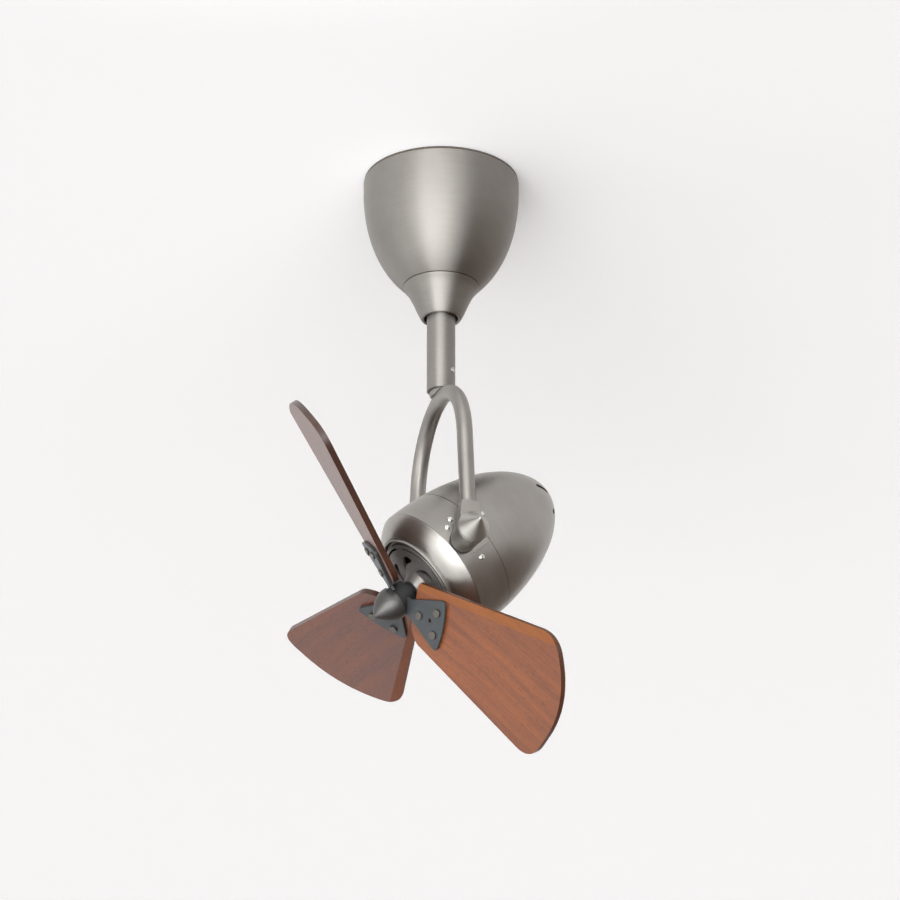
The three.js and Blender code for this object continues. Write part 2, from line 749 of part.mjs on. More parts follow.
function screwWays(names) {
  return names.flatMap((name) => {
    const [place, offset] = side_screw_places[name];
    return [0, Math.PI].map((turn) => {
      const [from, to] = [stator_radius - overrun, housing_radius + overrun];
      const way = disc(side_screw_radius + fit, from, to, screw_sides);
      return atSideScrew(way, place, offset).rotateZ(turn);
    });
  });
}

function sideScrew([place, offset]) {
  const seat = housingRadius(place) + fit;
  const body = turned([[0, seat - side_screw_length], [side_screw_radius, seat - side_screw_length],
    [side_screw_radius, seat], [side_screw_head, seat],
    [side_screw_head / 2, seat + side_screw_head_depth], [0, seat + side_screw_head_depth]], screw_sides);
  return atSideScrew(body, place, offset);
}

// Rotor
function bladeFrame(index) {
  const turn = new THREE.Matrix4().makeRotationZ(
    (blade_phase + blade_turns[index] + 120 * index) * degree);
  const pitch = new THREE.Matrix4().makeRotationX(blade_pitch * degree);
  return new THREE.Matrix4().makeTranslation(0, 0, blade_plane).multiply(turn).multiply(pitch);
}

function hub() {
  const bore = shaft_radius + fit;
  const rear = cover_boss_front + running_gap;
  const shoulder = blade_plane - hub_rear_stand;
  const body = turned([[bore, rear], [hub_neck_radius, rear], [hub_neck_radius, shoulder],
    [hub_radius, shoulder], [hub_radius, hub_front], [bore, hub_front], [bore, rear]], middle_sides);
  const half = iron_neck_half + fit;
  const slots = [0, 1, 2].map((index) => box(iron_inner - fit, hub_radius + overrun,
    -half, half, 0, iron_thickness + 2 * fit).applyMatrix4(bladeFrame(index)));
  return cut(body, ...slots);
}

function bladeIron() {
  const corner_place = iron_outer - iron_outer_bulge;
  const outline = rounded([
    [iron_inner, -iron_neck_half, 0], [iron_neck_end, -iron_neck_half, fit],
    [corner_place, -iron_outer_half, iron_corner_radius],
    [iron_outer, 0, iron_bulge_radius],
    [corner_place, iron_outer_half, iron_corner_radius],
    [iron_neck_end, iron_neck_half, fit], [iron_inner, iron_neck_half, 0]]);
  const body = plate(outline, fit, fit + iron_thickness);
  const through = (radius, x, y) => disc(radius, 0, iron_thickness + overrun, screw_sides).translate(x, y, 0);
  const ways = blade_screw_places.map(([x, y]) => through(blade_screw_radius + fit, x, y));
  return cut(body, ...ways, through(iron_hole_radius, iron_hole_place, 0));
}

// The blade's outline: +Y is the edge nearer the motor, -Y the one pitched forward
function bladeOutline() {
  const root = hub_radius + blade_root_gap;
  const root_corner = root + blade_root_slant;
  const bulge = blade_tip_radius - blade_tip_corner;
  return rounded([
    [root, -blade_root_nose_half, blade_root_corner_radius],
    [root_corner, -blade_root_half, blade_root_corner_radius],
    [blade_tip_corner, -blade_front_tip_half, blade_corner_radius],
    [blade_tip_radius + bulge / 2, 0, blade_rear_tip_half * blade_tip_round_share],
    [blade_tip_corner, blade_rear_tip_half, blade_corner_radius],
    [root, blade_root_rear_half, blade_root_rear_radius]]);
}

function blade() {
  const body = plate(bladeOutline(), -blade_thickness, 0, blade_curve_steps);
  const ways = blade_screw_places.map(([x, y]) => disc(blade_screw_radius + fit, -blade_thickness - overrun,
    overrun, screw_sides).translate(x, y, 0));
  return cut(body, ...ways);
}

function bladeScrew([x, y]) {
  const seat = iron_thickness + 2 * fit;
  const tip = -blade_thickness - blade_screw_tip;
  return turned([[0, tip], [blade_screw_radius, tip], [blade_screw_radius, seat], [blade_screw_head, seat],
    [blade_screw_head - blade_screw_chamfer, seat + blade_screw_head_depth],
    [0, seat + blade_screw_head_depth]], screw_sides).translate(x, y, 0);
}

function spinner() {
  const base = hub_front + fit;
  const bore = shaft_radius + fit;
  const outside = [];
  for (let i = 0; i < spinner_steps; i += 1) {
    const share = i / spinner_steps;
    const radius = spinner_radius * Math.pow(Math.cos(share * right_angle), spinner_power);
    outside.push([radius, base + spinner_length * share]);
  }
  outside.push([spinner_tip_radius, base + spinner_length - spinner_tip_radius / 2]);
  return turned([[bore, base], ...outside, [0, base + spinner_length],
    [0, shaft_front + fit], [bore, shaft_front + fit], [bore, base]], middle_sides);
}

// Assembly
const fan = new THREE.Group();

function addMount() {
  fan.add(piece('ceiling_bracket', ceilingBracket(), zinc));
  const gasket_radius = canopy_radius - gasket_step;
  const gasket = ring(gasket_radius, gasket_radius - gasket_width, -gasket_thickness, 0);
  fan.add(piece('canopy_gasket', gasket, rubber));
  fan.add(piece('canopy', canopy(), nickel));
  fan.add(piece('canopy_collar', collar(), nickel));
  [['canopy_screw_front', -1], ['canopy_screw_back', 1]].forEach(([name, side]) => {
    const screw = piece(name, canopyScrew(), zinc);
    screw.position.y = side * canopy_screw_place;
    fan.add(screw);
  });
  fan.add(piece('hanger_ball', hangerBall(), plastic));
  fan.add(piece('hanger_pin', hangerPin(), steel));
  fan.add(piece('downrod', downrod(), nickel));
  fan.add(piece('rod_set_screw', rodSetScrew(), zinc));
}

function addYoke() {
  fan.add(piece('yoke_stem', yokeStem(), nickel));
  fan.add(piece('yoke_tube', yokeTube(), nickel));
  [['near', 0], ['far', Math.PI]].forEach(([side, turn]) => {
    const end = new THREE.Group();
    end.position.z = -pivot_depth;
    end.rotation.z = turn;
    end.add(piece(`${side}_yoke_socket`, yokeBoss(), nickel));
    end.add(piece(`${side}_cone_cap`, coneCap(), nickel));
    end.add(piece(`${side}_pivot_bolt`, pivotBolt(), steel));
    end.add(piece(`${side}_pivot_washer`, pivotWasher(), steel));
    fan.add(end);
  });
}

function addHead(head) {
  head.add(piece('housing_front', housingFront(), nickel));
  head.add(piece('housing_rear', housingRear(), nickel));
  head.add(piece('front_bezel', frontBezel(), nickel));
  head.add(piece('front_cover', frontCover(), gunmetal));
  head.add(piece('stator_core', ring(stator_radius, stator_bore, stator_rear, stator_front), laminate));
  const winding = (start) => ring(stator_radius - winding_rim, stator_bore + winding_stand,
    start, start + winding_depth, middle_sides);
  head.add(piece('winding_front', winding(stator_front + fit), copper));
  head.add(piece('winding_rear', winding(stator_rear - fit - winding_depth), copper));
  head.add(piece('motor_rear_cover', rearCover(), diecast));
  head.add(piece('front_bearing', bearing(front_bearing_place), steel));
  head.add(piece('rear_bearing', bearing(rear_bearing_place), steel));
  head.add(piece('run_capacitor', capacitor(), plastic));
  [['near', 0], ['far', Math.PI]].forEach(([side, turn]) => {
    const wall = new THREE.Group();
    wall.rotation.z = turn;
    wall.add(piece(`${side}_pivot_plate`, pivotPlate(), steel));
    Object.entries(side_screw_places).forEach(([name, place]) => {
      wall.add(piece(`${side}_${name}_housing_screw`, sideScrew(place), zinc));
    });
    head.add(wall);
  });
}

function addRotor(head) {
  head.add(piece('motor_shaft', motorShaft(), steel));
  head.add(piece('rotor_core', ring(stator_bore - running_gap, shaft_radius + fit,
    stator_rear - rotor_overhang, stator_front + rotor_overhang, middle_sides), laminate));
  head.add(piece('hub', hub(), slate));
  head.add(piece('spinner', spinner(), slate));
  [3, 2, 1].forEach((number, index) => {
    const arm = new THREE.Group();
    arm.applyMatrix4(bladeFrame(index));
    arm.add(piece(`blade_iron_${number}`, bladeIron(), slate));
    arm.add(piece(`blade_${number}`, blade(), mahogany));
    blade_screw_places.forEach((place, i) => {
      arm.add(piece(`blade_${number}_screw_${i + 1}`, bladeScrew(place), slate));
    });
    head.add(arm);
  });
}

addMount();
addYoke();
const head = new THREE.Group();
head.position.z = -pivot_depth;
head.rotation.y = -(90 + head_tilt) * degree;
addHead(head);
addRotor(head);
fan.add(head);

export default fan;
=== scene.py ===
# Small directional ceiling fan: satin nickel canopy, downrod, yoke and motor head, three wooden blades.
# Metres, +Z up. The origin is the centre of the face that meets the ceiling.
import math

import bpy
from mathutils import Matrix, Vector


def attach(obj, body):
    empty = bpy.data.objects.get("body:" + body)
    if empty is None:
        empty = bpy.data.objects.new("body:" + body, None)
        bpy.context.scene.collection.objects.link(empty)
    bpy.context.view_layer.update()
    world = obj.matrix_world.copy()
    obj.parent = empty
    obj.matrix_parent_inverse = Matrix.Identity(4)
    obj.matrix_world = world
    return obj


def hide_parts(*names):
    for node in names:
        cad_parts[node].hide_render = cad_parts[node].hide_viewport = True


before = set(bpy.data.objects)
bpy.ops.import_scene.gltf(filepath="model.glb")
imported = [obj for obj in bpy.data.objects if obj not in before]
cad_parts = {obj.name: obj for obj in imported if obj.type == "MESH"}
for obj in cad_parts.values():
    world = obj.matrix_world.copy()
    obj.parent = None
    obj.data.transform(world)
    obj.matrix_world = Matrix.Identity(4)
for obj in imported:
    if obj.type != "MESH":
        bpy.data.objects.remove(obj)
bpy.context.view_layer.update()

# Units, clearances and counts
mm = 0.001
fit = 0.3 * mm
merge_reach = 0.005 * mm
tool_overrun = 3 * mm
round_sides = 128
middle_sides = 64
small_sides = 32
corner_steps = 8
smooth_angle = math.radians(38)
corner_share = 0.45
edge_steps = 4

# Edge roundings, from the crispest to the softest
crisp_edge = 0.3 * mm
small_edge = 0.35 * mm
plate_edge = 0.4 * mm
bezel_edge = 0.45 * mm
usual_edge = 0.5 * mm
soft_edge = 0.6 * mm
cast_edge = 0.8 * mm

# Ceiling, canopy and collar
gasket_radius = 69.5 * mm
gasket_width = 4 * mm
gasket_thickness = 2 * mm
canopy_radius = 70 * mm
canopy_depth = 106 * mm
canopy_skirt = 12 * mm
canopy_neck_radius = 34 * mm
canopy_wall = 1.6 * mm
canopy_opening = 18 * mm
canopy_pulls = ((0.829, 0.802), (1, 0.472))
collar_length = 31 * mm
collar_joint = 0.8 * mm
collar_opening = 15.3 * mm
collar_end_radius = 17.6 * mm
collar_wall = 1.4 * mm
collar_shares = ((0, 1), (0.17, 0.84), (0.44, 0.5), (0.73, 0.19), (1, 0))

# Hanger ball, downrod and set screw
ball_radius = 24 * mm
ball_depth = 84 * mm
ball_top_cut = 15 * mm
ball_bottom_cut = 17 * mm
rod_radius = 12.7 * mm
rod_wall = 2.2 * mm
rod_top_depth = 64 * mm
rod_bottom_depth = 209 * mm
set_screw_rise = 18 * mm
set_screw_radius = 2.2 * mm
set_screw_azimuth = -54
set_screw_stand = 0.8 * mm
set_screw_socket = 1.1 * mm
set_screw_socket_depth = 1.5 * mm

# Yoke
stem_length = 44 * mm
stem_bore = 4 * mm
stem_drop = 5.5 * mm
stem_chamfer = 1 * mm
stem_groove_depth = 1.8 * mm
tube_radius = 7 * mm
bend_radius = 71 * mm
splay = 7
pivot_depth = 378 * mm
boss_radius = 13.7 * mm
boss_root_radius = 10.8 * mm
boss_chamfer = 0.8 * mm
boss_inner = 63.8 * mm
sleeve_wall = 1.1 * mm
sleeve_rise = 29 * mm
sleeve_seat_rise = 16.5 * mm
boss_reach = 12.3 * mm
fairing_rise = 27 * mm
fairing_half = 8.2 * mm
fairing_base_half = 10.5 * mm
fairing_depth = 12.3 * mm
fairing_corner_radius = 2.5 * mm
cap_rim = 1.6 * mm
cap_height = 21 * mm
cap_tip_radius = 1.4 * mm
washer_radius = 11.2 * mm
washer_thickness = 1.1 * mm
bolt_radius = 4 * mm
socket_voxel = 0.32 * mm
socket_smoothing = 3

# Motor head, along its own axis from the pivot, forwards
head_tilt = 41.5
housing_radius = 62 * mm
housing_wide_place = -2 * mm
housing_nose_length = 124 * mm
housing_wall = 2.2 * mm
housing_seam = -23 * mm
pad_radius = 10.6 * mm
land_half_width = 13.8 * mm
land_rear = -20.5 * mm
land_front = -2 * mm
land_root = 58.6 * mm
land_drop = 0.8 * mm
land_corner_radius = 1.5 * mm
bezel_start = 11.3 * mm
bezel_step = 1.5 * mm
bezel_end = 25.2 * mm
bezel_pulls = ((0.79, 0.4), (0.36, 0.83))
lip_radius = 45.1 * mm
lip_width = 1.5 * mm
lip_front = 28.4 * mm
lip_groove = 24.4 * mm
vent_ring_radius = 26.5 * mm
vent_width = 3.8 * mm
vent_length = 14 * mm
vent_slant = 45
vent_depth_share = 0.8
vent_corner_share = 0.95
vent_angles = (-89, -141, 89, 141)

# Front cover
cover_rim_front = 24 * mm
cover_thickness = 2.4 * mm
cover_face = 28 * mm
cover_groove_width = 2.8 * mm
cover_boss_radius = 13.4 * mm
cover_boss_foot = 1.1 * mm
cover_boss_neck = 4 * mm
cover_boss_front = 36 * mm
cover_boss_rear = 8 * mm
cover_bore = 5.6 * mm
bearing_room_radius = 11.3 * mm
bearing_room_front = 19.3 * mm
arc_slot_radius = 36.8 * mm
arc_slot_width = 1.9 * mm
arc_slot_sweep = 44
arc_slot_phase = 3.5
comma_count = 6
comma_phase = 7
comma_inner = 14.9 * mm
comma_outer = 29.3 * mm
comma_sweep = 55
comma_shares = ((0, 0), (0.18, 0.25), (0.44, 0.6), (0.58, 0.82), (0.76, 1), (0.94, 0.96), (1, 0.82),
                (0.92, 0.62), (0.65, 0.44), (0.27, 0.22), (0, 0))

# Side screws round each pivot: (place along the axis, sideways offset)
side_screw_radius = 2.7 * mm
side_screw_height = 1.3 * mm
cross_half_length = 1.5 * mm
cross_half_width = 0.4 * mm
cross_floor_share = 0.55
cross_turns = (30, 120)
side_screw_places = {
    "upper": (-7 * mm, 22 * mm),
    "inner": (1 * mm, 17.7 * mm),
    "lower": (-7 * mm, -20.5 * mm),
    "rear": (-33 * mm, 9.5 * mm),
}

# Rotor
blade_plane = 50 * mm
blade_pitch = -21
blade_angles = (-23.6, 91.4, 213)
hub_neck_radius = 8 * mm
hub_radius = 13 * mm
hub_rear = 36.6 * mm
hub_shoulder = 41.5 * mm
hub_front = 56.2 * mm
hub_bore = 5.3 * mm
spinner_radius = 14.9 * mm
spinner_length = 23.8 * mm
spinner_power = 0.82
spinner_rim = 1.4 * mm
blade_thickness = 5.5 * mm
blade_tip_radius = 195.6 * mm
blade_tip_corner = 177.3 * mm
blade_root = 18.4 * mm
blade_root_slant = 8.4 * mm
blade_root_half = 30 * mm
blade_root_nose_half = 18 * mm
blade_root_rear_half = 24.4 * mm
blade_front_tip_half = 68.2 * mm
blade_rear_tip_half = 55.4 * mm
blade_corner_radius = 18.8 * mm
blade_root_corner_radius = 5 * mm
blade_root_rear_radius = 1.5 * mm
blade_tip_round_share = 0.75
band_root = (27.6 * mm, 19.6 * mm)
band_tip = (183.9 * mm, 47 * mm)
band_rise = (band_tip[1] - band_root[1]) / (band_tip[0] - band_root[0])
band_slope = 12
# Painted shade on the blades' side edges: their colour is this share of the face's
edge_shade_share = 0.4
edge_slope = 0.5
grain_step = 3.7
# Painted light: each blade's brightness and warmth, set for how it is lit, multiply its wood colour
blade_light_tones = ((0.40, 0.30, 0.23), (0.48, 0.32, 0.20), (0.72, 0.54, 0.20))
iron_thickness = 2.5 * mm
iron_inner = 6.8 * mm
iron_outer = 58 * mm
iron_bulge = 4 * mm
iron_neck_half = 7.5 * mm
iron_neck_end = 15 * mm
iron_neck_corner_radius = 1.5 * mm
iron_outer_half = 26 * mm
iron_corner_radius = 7 * mm
iron_bulge_radius = 14 * mm
iron_hole_radius = 1.9 * mm
iron_hole_place = 41 * mm
screw_radius = 2 * mm
screw_head_radius = 3.7 * mm
screw_head_height = 1.6 * mm
screw_tip = 3.2 * mm
screw_places = ((28.4 * mm, -1.5 * mm), (47.8 * mm, 10.8 * mm), (47.8 * mm, -10.8 * mm))

# Camera, lamps and ceiling
camera_place = (-1.0555, -3.4645, -1.8991)
camera_rise = 24.28
camera_turn = -17.07
camera_lens = 180.8
sensor_width = 36
ceiling_half = 12
ceiling_gap = 0.2 * mm
ceiling_lift = 0.14
uplight_azimuth = 24
uplight_reach = 1.0
uplight_drop = 1.3
uplight_spread = 56
uplight_power = 90
uplight_blend = 0.8
uplight_size = 0.1

# Room light: azimuth, cosines at its edge and where it is full, and level
left_light = (100, -0.3, 0.7, 0.62)
back_light = (185, 0.6, 0.95, 0.2)
window_light = (21, 0.52, 0.84, 1.15)
window_core = (22, 0.72, 0.95, 1.4)
core_floor_span = (-0.95, -0.6)
low_left_side = (88, -38)
low_left_span = (0.62, 0.95)
low_left_level = 0.3
room_level = 0.24
floor_span = (-0.92, -0.45)
floor_share = 0.3
dim_span = (0.1, 0.7)
dim_tint = (1, 0.78, 0.65)


# Places
def moved(x, y, z):
    return Matrix.Translation((x, y, z))


def about(degrees, axis):
    return Matrix.Rotation(math.radians(degrees), 4, axis)


def toward(azimuth, rise=0):
    """The direction of a far place: azimuth 0 is on the camera's side, 90 to its left."""
    azimuth, rise = math.radians(azimuth), math.radians(rise)
    return Vector((-math.sin(azimuth) * math.cos(rise), -math.cos(azimuth) * math.cos(rise), math.sin(rise)))


both_sides = (("near", 0), ("far", 180))
along_pivot = about(90, "X")
head_place = moved(0, 0, -pivot_depth) @ about(-90 - head_tilt, "Y")
at_set_screw = moved(0, 0, set_screw_rise - rod_bottom_depth) @ about(set_screw_azimuth, "Z") @ about(90, "Y")


# Camera, as it stood for the photograph: below the fan, a little to the left
def set_camera():
    bpy.ops.object.camera_add(location=camera_place,
                              rotation=(math.radians(90 + camera_rise), 0, math.radians(camera_turn)))
    camera = bpy.context.object
    camera.data.lens = camera_lens
    camera.data.sensor_width = sensor_width
    camera.data.clip_end = 100
    bpy.context.scene.camera = camera


# Mesh making
def only(piece):
    """Selects one piece alone and makes it the active one."""
    bpy.ops.object.select_all(action="DESELECT")
    piece.select_set(True)
    bpy.context.view_layer.objects.active = piece


def extrude(step):
    bpy.ops.mesh.extrude_region_move(TRANSFORM_OT_translate={"value": step})


def start_line(name, point):
    """A new mesh of one point, left open in edit mode."""
    bpy.ops.object.select_all(action="DESELECT")
    bpy.ops.mesh.primitive_circle_add(vertices=3, radius=mm, enter_editmode=True)
    bpy.ops.mesh.merge(type="CENTER")
    bpy.ops.transform.translate(value=point)
    piece = bpy.context.object
    piece.name = name
    piece.data.name = name
    return piece


def run_line(points):
    """Extrudes the open point through the others, one edge at a time."""
    for here, there in zip(points, points[1:]):
        extrude(Vector(there) - Vector(here))


def close_up():
    """Merges what meets, turns every face outwards and leaves edit mode."""
    bpy.ops.mesh.select_all(action="SELECT")
    bpy.ops.mesh.remove_doubles(threshold=merge_reach)
    bpy.ops.mesh.normals_make_consistent(inside=False)
    bpy.ops.object.mode_set(mode="OBJECT")


def turned(name, profile, sides=round_sides):
    """A profile of (radius, height) points spun about Z; it ends on the axis or closes on itself."""
    points = [(radius, 0, height) for radius, height in profile]
    piece = start_line(name, points[0])
    run_line(points)
    bpy.ops.mesh.select_all(action="SELECT")
    bpy.ops.mesh.spin(steps=sides, angle=2 * math.pi, center=(0, 0, 0), axis=(0, 0, 1))
    close_up()
    return piece


def plate(name, outline, low, high):
    """A flat outline of (x, y) points filled and extruded from low to high."""
    points = [(x, y, low) for x, y in outline]
    piece = start_line(name, points[0])
    run_line(points + points[:1])
    bpy.ops.mesh.select_all(action="SELECT")
    bpy.ops.mesh.remove_doubles(threshold=merge_reach)
    bpy.ops.mesh.edge_face_add()
    extrude((0, 0, high - low))
    close_up()
    return piece


def pin(name, radius, low, high, sides=small_sides):
    """A plain round bar along Z, for drilling and joining."""
    return turned(name, [(0, low), (radius, low), (radius, high), (0, high)], sides)


def shift(piece, matrix):
    """Moves a piece by a matrix and puts its place into its mesh."""
    piece.matrix_world = matrix
    only(piece)
    bpy.ops.object.transform_apply(location=True, rotation=True, scale=True)
    return piece


def apply_modifier(piece, kind, **settings):
    modifier = piece.modifiers.new(kind.lower(), kind)
    for key, value in settings.items():
        setattr(modifier, key, value)
    only(piece)
    bpy.ops.object.modifier_apply(modifier=modifier.name)


def combine(piece, operation, tools, materials="INDEX"):
    """Cuts the tools from a piece or joins them to it, and removes them."""
    for tool in tools:
        apply_modifier(piece, "BOOLEAN", operation=operation, object=tool, solver="EXACT",
                       material_mode=materials)
        bpy.data.objects.remove(tool)


def drill(piece, holes, low, high):
    """Round holes along Z, each given as (x, y, radius)."""
    combine(piece, "DIFFERENCE", [shift(pin("hole", radius, low, high), moved(x, y, 0))
                                  for x, y, radius in holes])


def soften(piece, width, segments=3, angle=35):
    """Rounds every edge sharper than the angle."""
    apply_modifier(piece, "BEVEL", width=width, segments=segments, limit_method="ANGLE",
                   angle_limit=math.radians(angle), use_clamp_overlap=True)


def shade(piece):
    """Smooth shading that keeps broad faces even."""
    only(piece)
    bpy.ops.object.shade_smooth_by_angle(angle=smooth_angle)
    apply_modifier(piece, "WEIGHTED_NORMAL", keep_sharp=True)


def copy_of(piece, name):
    twin = piece.copy()
    twin.data = piece.data.copy()
    twin.name = name
    twin.data.name = name
    bpy.context.collection.objects.link(twin)
    return twin


def settle(piece, body, node, place=Matrix()):
    """Keeps the piece's own coordinates for its pattern, puts it in its place and body, and hides its CAD
    part.
    """
    own = piece.data.attributes.new("own", "FLOAT_VECTOR", "POINT")
    places = [number for vertex in piece.data.vertices for number in vertex.co]
    own.data.foreach_set("vector", places)
    shift(piece, place)
    shade(piece)
    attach(piece, body)
    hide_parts(node)


def paint(piece, *materials):
    piece.data.materials.clear()
    for material in materials:
        piece.data.materials.append(material)


# Outlines
def bend_corner(before, corner, after, reach, steps):
    """Points of a smooth turn at a corner, reaching a distance along both sides."""
    before, corner, after = Vector(before), Vector(corner), Vector(after)
    start = corner + (before - corner).normalized() * reach
    end = corner + (after - corner).normalized() * reach
    points = []
    for i in range(steps + 1):
        t = i / steps
        points.append(tuple(start * (1 - t) ** 2 + corner * 2 * t * (1 - t) + end * t ** 2))
    return points


def rounded(corners, steps=corner_steps):
    """A closed outline of (x, y, radius) corners, each turned smoothly."""
    outline = []
    for i, (x, y, radius) in enumerate(corners):
        before = corners[i - 1][:2]
        after = corners[(i + 1) % len(corners)][:2]
        if radius:
            outline += bend_corner(before, (x, y), after, radius, steps)
        else:
            outline.append((x, y))
    return outline


def eased(profile, radius, least_turn=25):
    """A profile whose real corners become small arcs; it may close on itself."""
    closed = profile[0] == profile[-1]
    points = profile[:-1] if closed else profile
    result = []
    for i, here in enumerate(points):
        before, after = points[i - 1], points[(i + 1) % len(points)]
        into = Vector(here) - Vector(before)
        out = Vector(after) - Vector(here)
        at_end = not closed and i in (0, len(points) - 1)
        if at_end or into.angle(out) < math.radians(least_turn):
            result.append(here)
            continue
        reach = min(radius, corner_share * into.length, corner_share * out.length)
        result += bend_corner(before, here, after, reach, edge_steps)
    return result + result[:1] if closed else result


def ring(inner, outer, low, high):
    """The square-cornered profile of a ring or tube."""
    return [(inner, low), (outer, low), (outer, high), (inner, high), (inner, low)]


def panel(left, right, low, high, radius=0):
    """A rectangle's outline, with its corners turned where a radius is given."""
    return rounded([(left, low, radius), (right, low, radius), (right, high, radius), (left, high, radius)])


def arc_points(across, up, start, end, steps, centre=(0, 0)):
    """Points of an ellipse round a centre, from one angle to another, in radians."""
    turns = [start + (end - start) * i / steps for i in range(steps + 1)]
    return [(centre[0] + across * math.cos(turn), centre[1] + up * math.sin(turn)) for turn in turns]


def onto_axis(points):
    """The same points, the last of them moved onto the axis."""
    return [*points[:-1], (0, points[-1][1])]


def curve(start, pull_a, pull_b, end, steps):
    """Points of a smooth curve between two ends, drawn towards two pulls."""
    start, pull_a, pull_b, end = (Vector(point) for point in (start, pull_a, pull_b, end))
    points = []
    for i in range(steps + 1):
        t = i / steps
        s = 1 - t
        points.append(tuple(start * s ** 3 + pull_a * 3 * s * s * t + pull_b * 3 * s * t * t + end * t ** 3))
    return points


def smooth_line(points, steps):
    """A smooth line through all the points."""
    line = [Vector(point) for point in points]
    line = [line[0] * 2 - line[1], *line, line[-1] * 2 - line[-2]]
    result = []
    for before, start, end, after in zip(line, line[1:], line[2:], line[3:]):
        for i in range(steps):
            t = i / steps
            bend = start * 2 + (end - before) * t
            bend += (before * 2 - start * 5 + end * 4 - after) * t ** 2
            bend += (start * 3 - before - end * 3 + after) * t ** 3
            result.append(tuple(bend / 2))
    return [*result, tuple(line[-2])]


def inset(points, distance):
    """The same line moved to its left."""
    result = []
    for i, (x, y) in enumerate(points):
        ax, ay = points[max(i - 1, 0)]
        bx, by = points[min(i + 1, len(points) - 1)]
        run = math.hypot(bx - ax, by - ay)
        result.append((x - (by - ay) / run * distance, y + (bx - ax) / run * distance))
    return result


# Materials: sums of sockets read as sums
class Wire:
    def __init__(self, mix, socket):
        self.mix = mix
        self.socket = socket

    def __add__(self, other):
        return self.mix.maths("ADD", self, other)

    def __radd__(self, other):
        return self.mix.maths("ADD", other, self)

    def __sub__(self, other):
        return self.mix.maths("SUBTRACT", self, other)

    def __rsub__(self, other):
        return self.mix.maths("SUBTRACT", other, self)

    def __mul__(self, other):
        return self.mix.maths("MULTIPLY", self, other)

    def __rmul__(self, other):
        return self.mix.maths("MULTIPLY", other, self)

    def __truediv__(self, other):
        return self.mix.maths("DIVIDE", self, other)

    def __rtruediv__(self, other):
        return self.mix.maths("DIVIDE", other, self)


class Nodes:
    """A node tree and the few nodes that this scene's finishes and light use."""

    def __init__(self, tree):
        self.tree = tree

    def node(self, kind, settings=None, inputs=None):
        """A node of a type, with its settings made first and then its sockets filled or linked."""
        node = self.tree.nodes.new(kind)
        for key, value in (settings or {}).items():
            setattr(node, key, value)
        for key, value in (inputs or {}).items():
            self.feed(node.inputs[key], value)
        return node

    def feed(self, socket, value):
        if isinstance(value, Wire):
            self.tree.links.new(value.socket, socket)
        elif isinstance(value, tuple) and len(value) == 3 and len(socket.default_value) == 4:
            socket.default_value = (*value, 1)
        else:
            socket.default_value = value

    def out(self, node, output=0):
        return Wire(self, node.outputs[output])

    def maths(self, operation, *values):
        inputs = dict(enumerate(values))
        return self.out(self.node("ShaderNodeMath", {"operation": operation}, inputs))

    def axes(self, vector):
        split = self.node("ShaderNodeSeparateXYZ", None, {0: vector})
        return [Wire(self, output) for output in split.outputs]

    def vector(self, x, y, z):
        return self.out(self.node("ShaderNodeCombineXYZ", None, {0: x, 1: y, 2: z}))

    def turned_by(self, vector, rotation, scale=(1, 1, 1)):
        inputs = {"Vector": vector, "Rotation": rotation, "Scale": scale}
        return self.out(self.node("ShaderNodeMapping", None, inputs))

    def noise(self, vector, scale, detail=3, roughness=0.5):
        inputs = {"Vector": vector, "Scale": scale, "Detail": detail, "Roughness": roughness}
        return self.out(self.node("ShaderNodeTexNoise", None, inputs))

    def span(self, value, low, high, to_low=0, to_high=1):
        """Value from low to high made to run smoothly between two others."""
        inputs = {0: value, 1: low, 2: high, 3: to_low, 4: to_high}
        return self.out(self.node("ShaderNodeMapRange", {"interpolation_type": "SMOOTHSTEP"}, inputs))

    def blend(self, factor, first, second, how="MIX"):
        settings = {"data_type": "RGBA", "blend_type": how}
        return self.out(self.node("ShaderNodeMix", settings, {0: factor, 6: first, 7: second}), 2)


class Finish(Nodes):
    """One material, with what its shader reads."""

    def __init__(self, name, **shader):
        self.material = bpy.data.materials.new(name)
        self.material.use_nodes = True
        super().__init__(self.material.node_tree)
        self.shader = self.tree.nodes["Principled BSDF"]
        for key, value in shader.items():
            self.set(key.replace("_", " ").title(), value)

    def set(self, name, value):
        self.feed(self.shader.inputs[name], value)

    def own(self):
        """The piece's own coordinates, in metres, before it was put in place."""
        return self.out(self.node("ShaderNodeAttribute", {"attribute_name": "own"}), "Vector")

    def placed(self):
        """The object's shared coordinates, which CAD solids have too."""
        return self.out(self.node("ShaderNodeTexCoord"), "Object")

    def surface(self, color, roughness, relief, depth, strength=0.5):
        """The material, once its colour, roughness and fine relief are set."""
        self.set("Base Color", color)
        self.set("Roughness", roughness)
        inputs = {"Strength": strength, "Distance": depth, "Height": relief}
        self.set("Normal", self.out(self.node("ShaderNodeBump", None, inputs), "Normal"))
        return self.material


def satin_nickel(name, color, roughness=0.33, spun=True, streak=0):
    """Satin nickel plate: soft, warm grey, with the fine marks of the brush that finished it."""
    finish = Finish(name, metallic=1, anisotropic=streak, anisotropic_rotation=0.25)
    own = finish.own()
    if spun:
        x, y, z = finish.axes(own)
        radius = finish.maths("SQRT", x * x + y * y + 1e-9)
        marks = finish.vector(x / radius * 2.2, y / radius * 2.2, (z + radius) * 900)
    else:
        marks = finish.turned_by(own, (0, 0, 0), (900, 900, 900))
    brush = finish.noise(marks, 1, 4, 0.6)
    cloud = finish.noise(own, 38)
    grain = finish.noise(own, 2600, 2, 0.6)
    darker, lighter = (tuple(channel * share for channel in color) for share in (0.92, 1.07))
    tone = finish.span(cloud * 0.55 + brush * 0.45, 0.3, 0.7)
    return finish.surface(finish.blend(tone, darker, lighter),
                          roughness + (brush - 0.5) * 0.10 + (cloud - 0.5) * 0.08,
                          brush * 0.6 + grain * 0.4, 0.02 * mm)


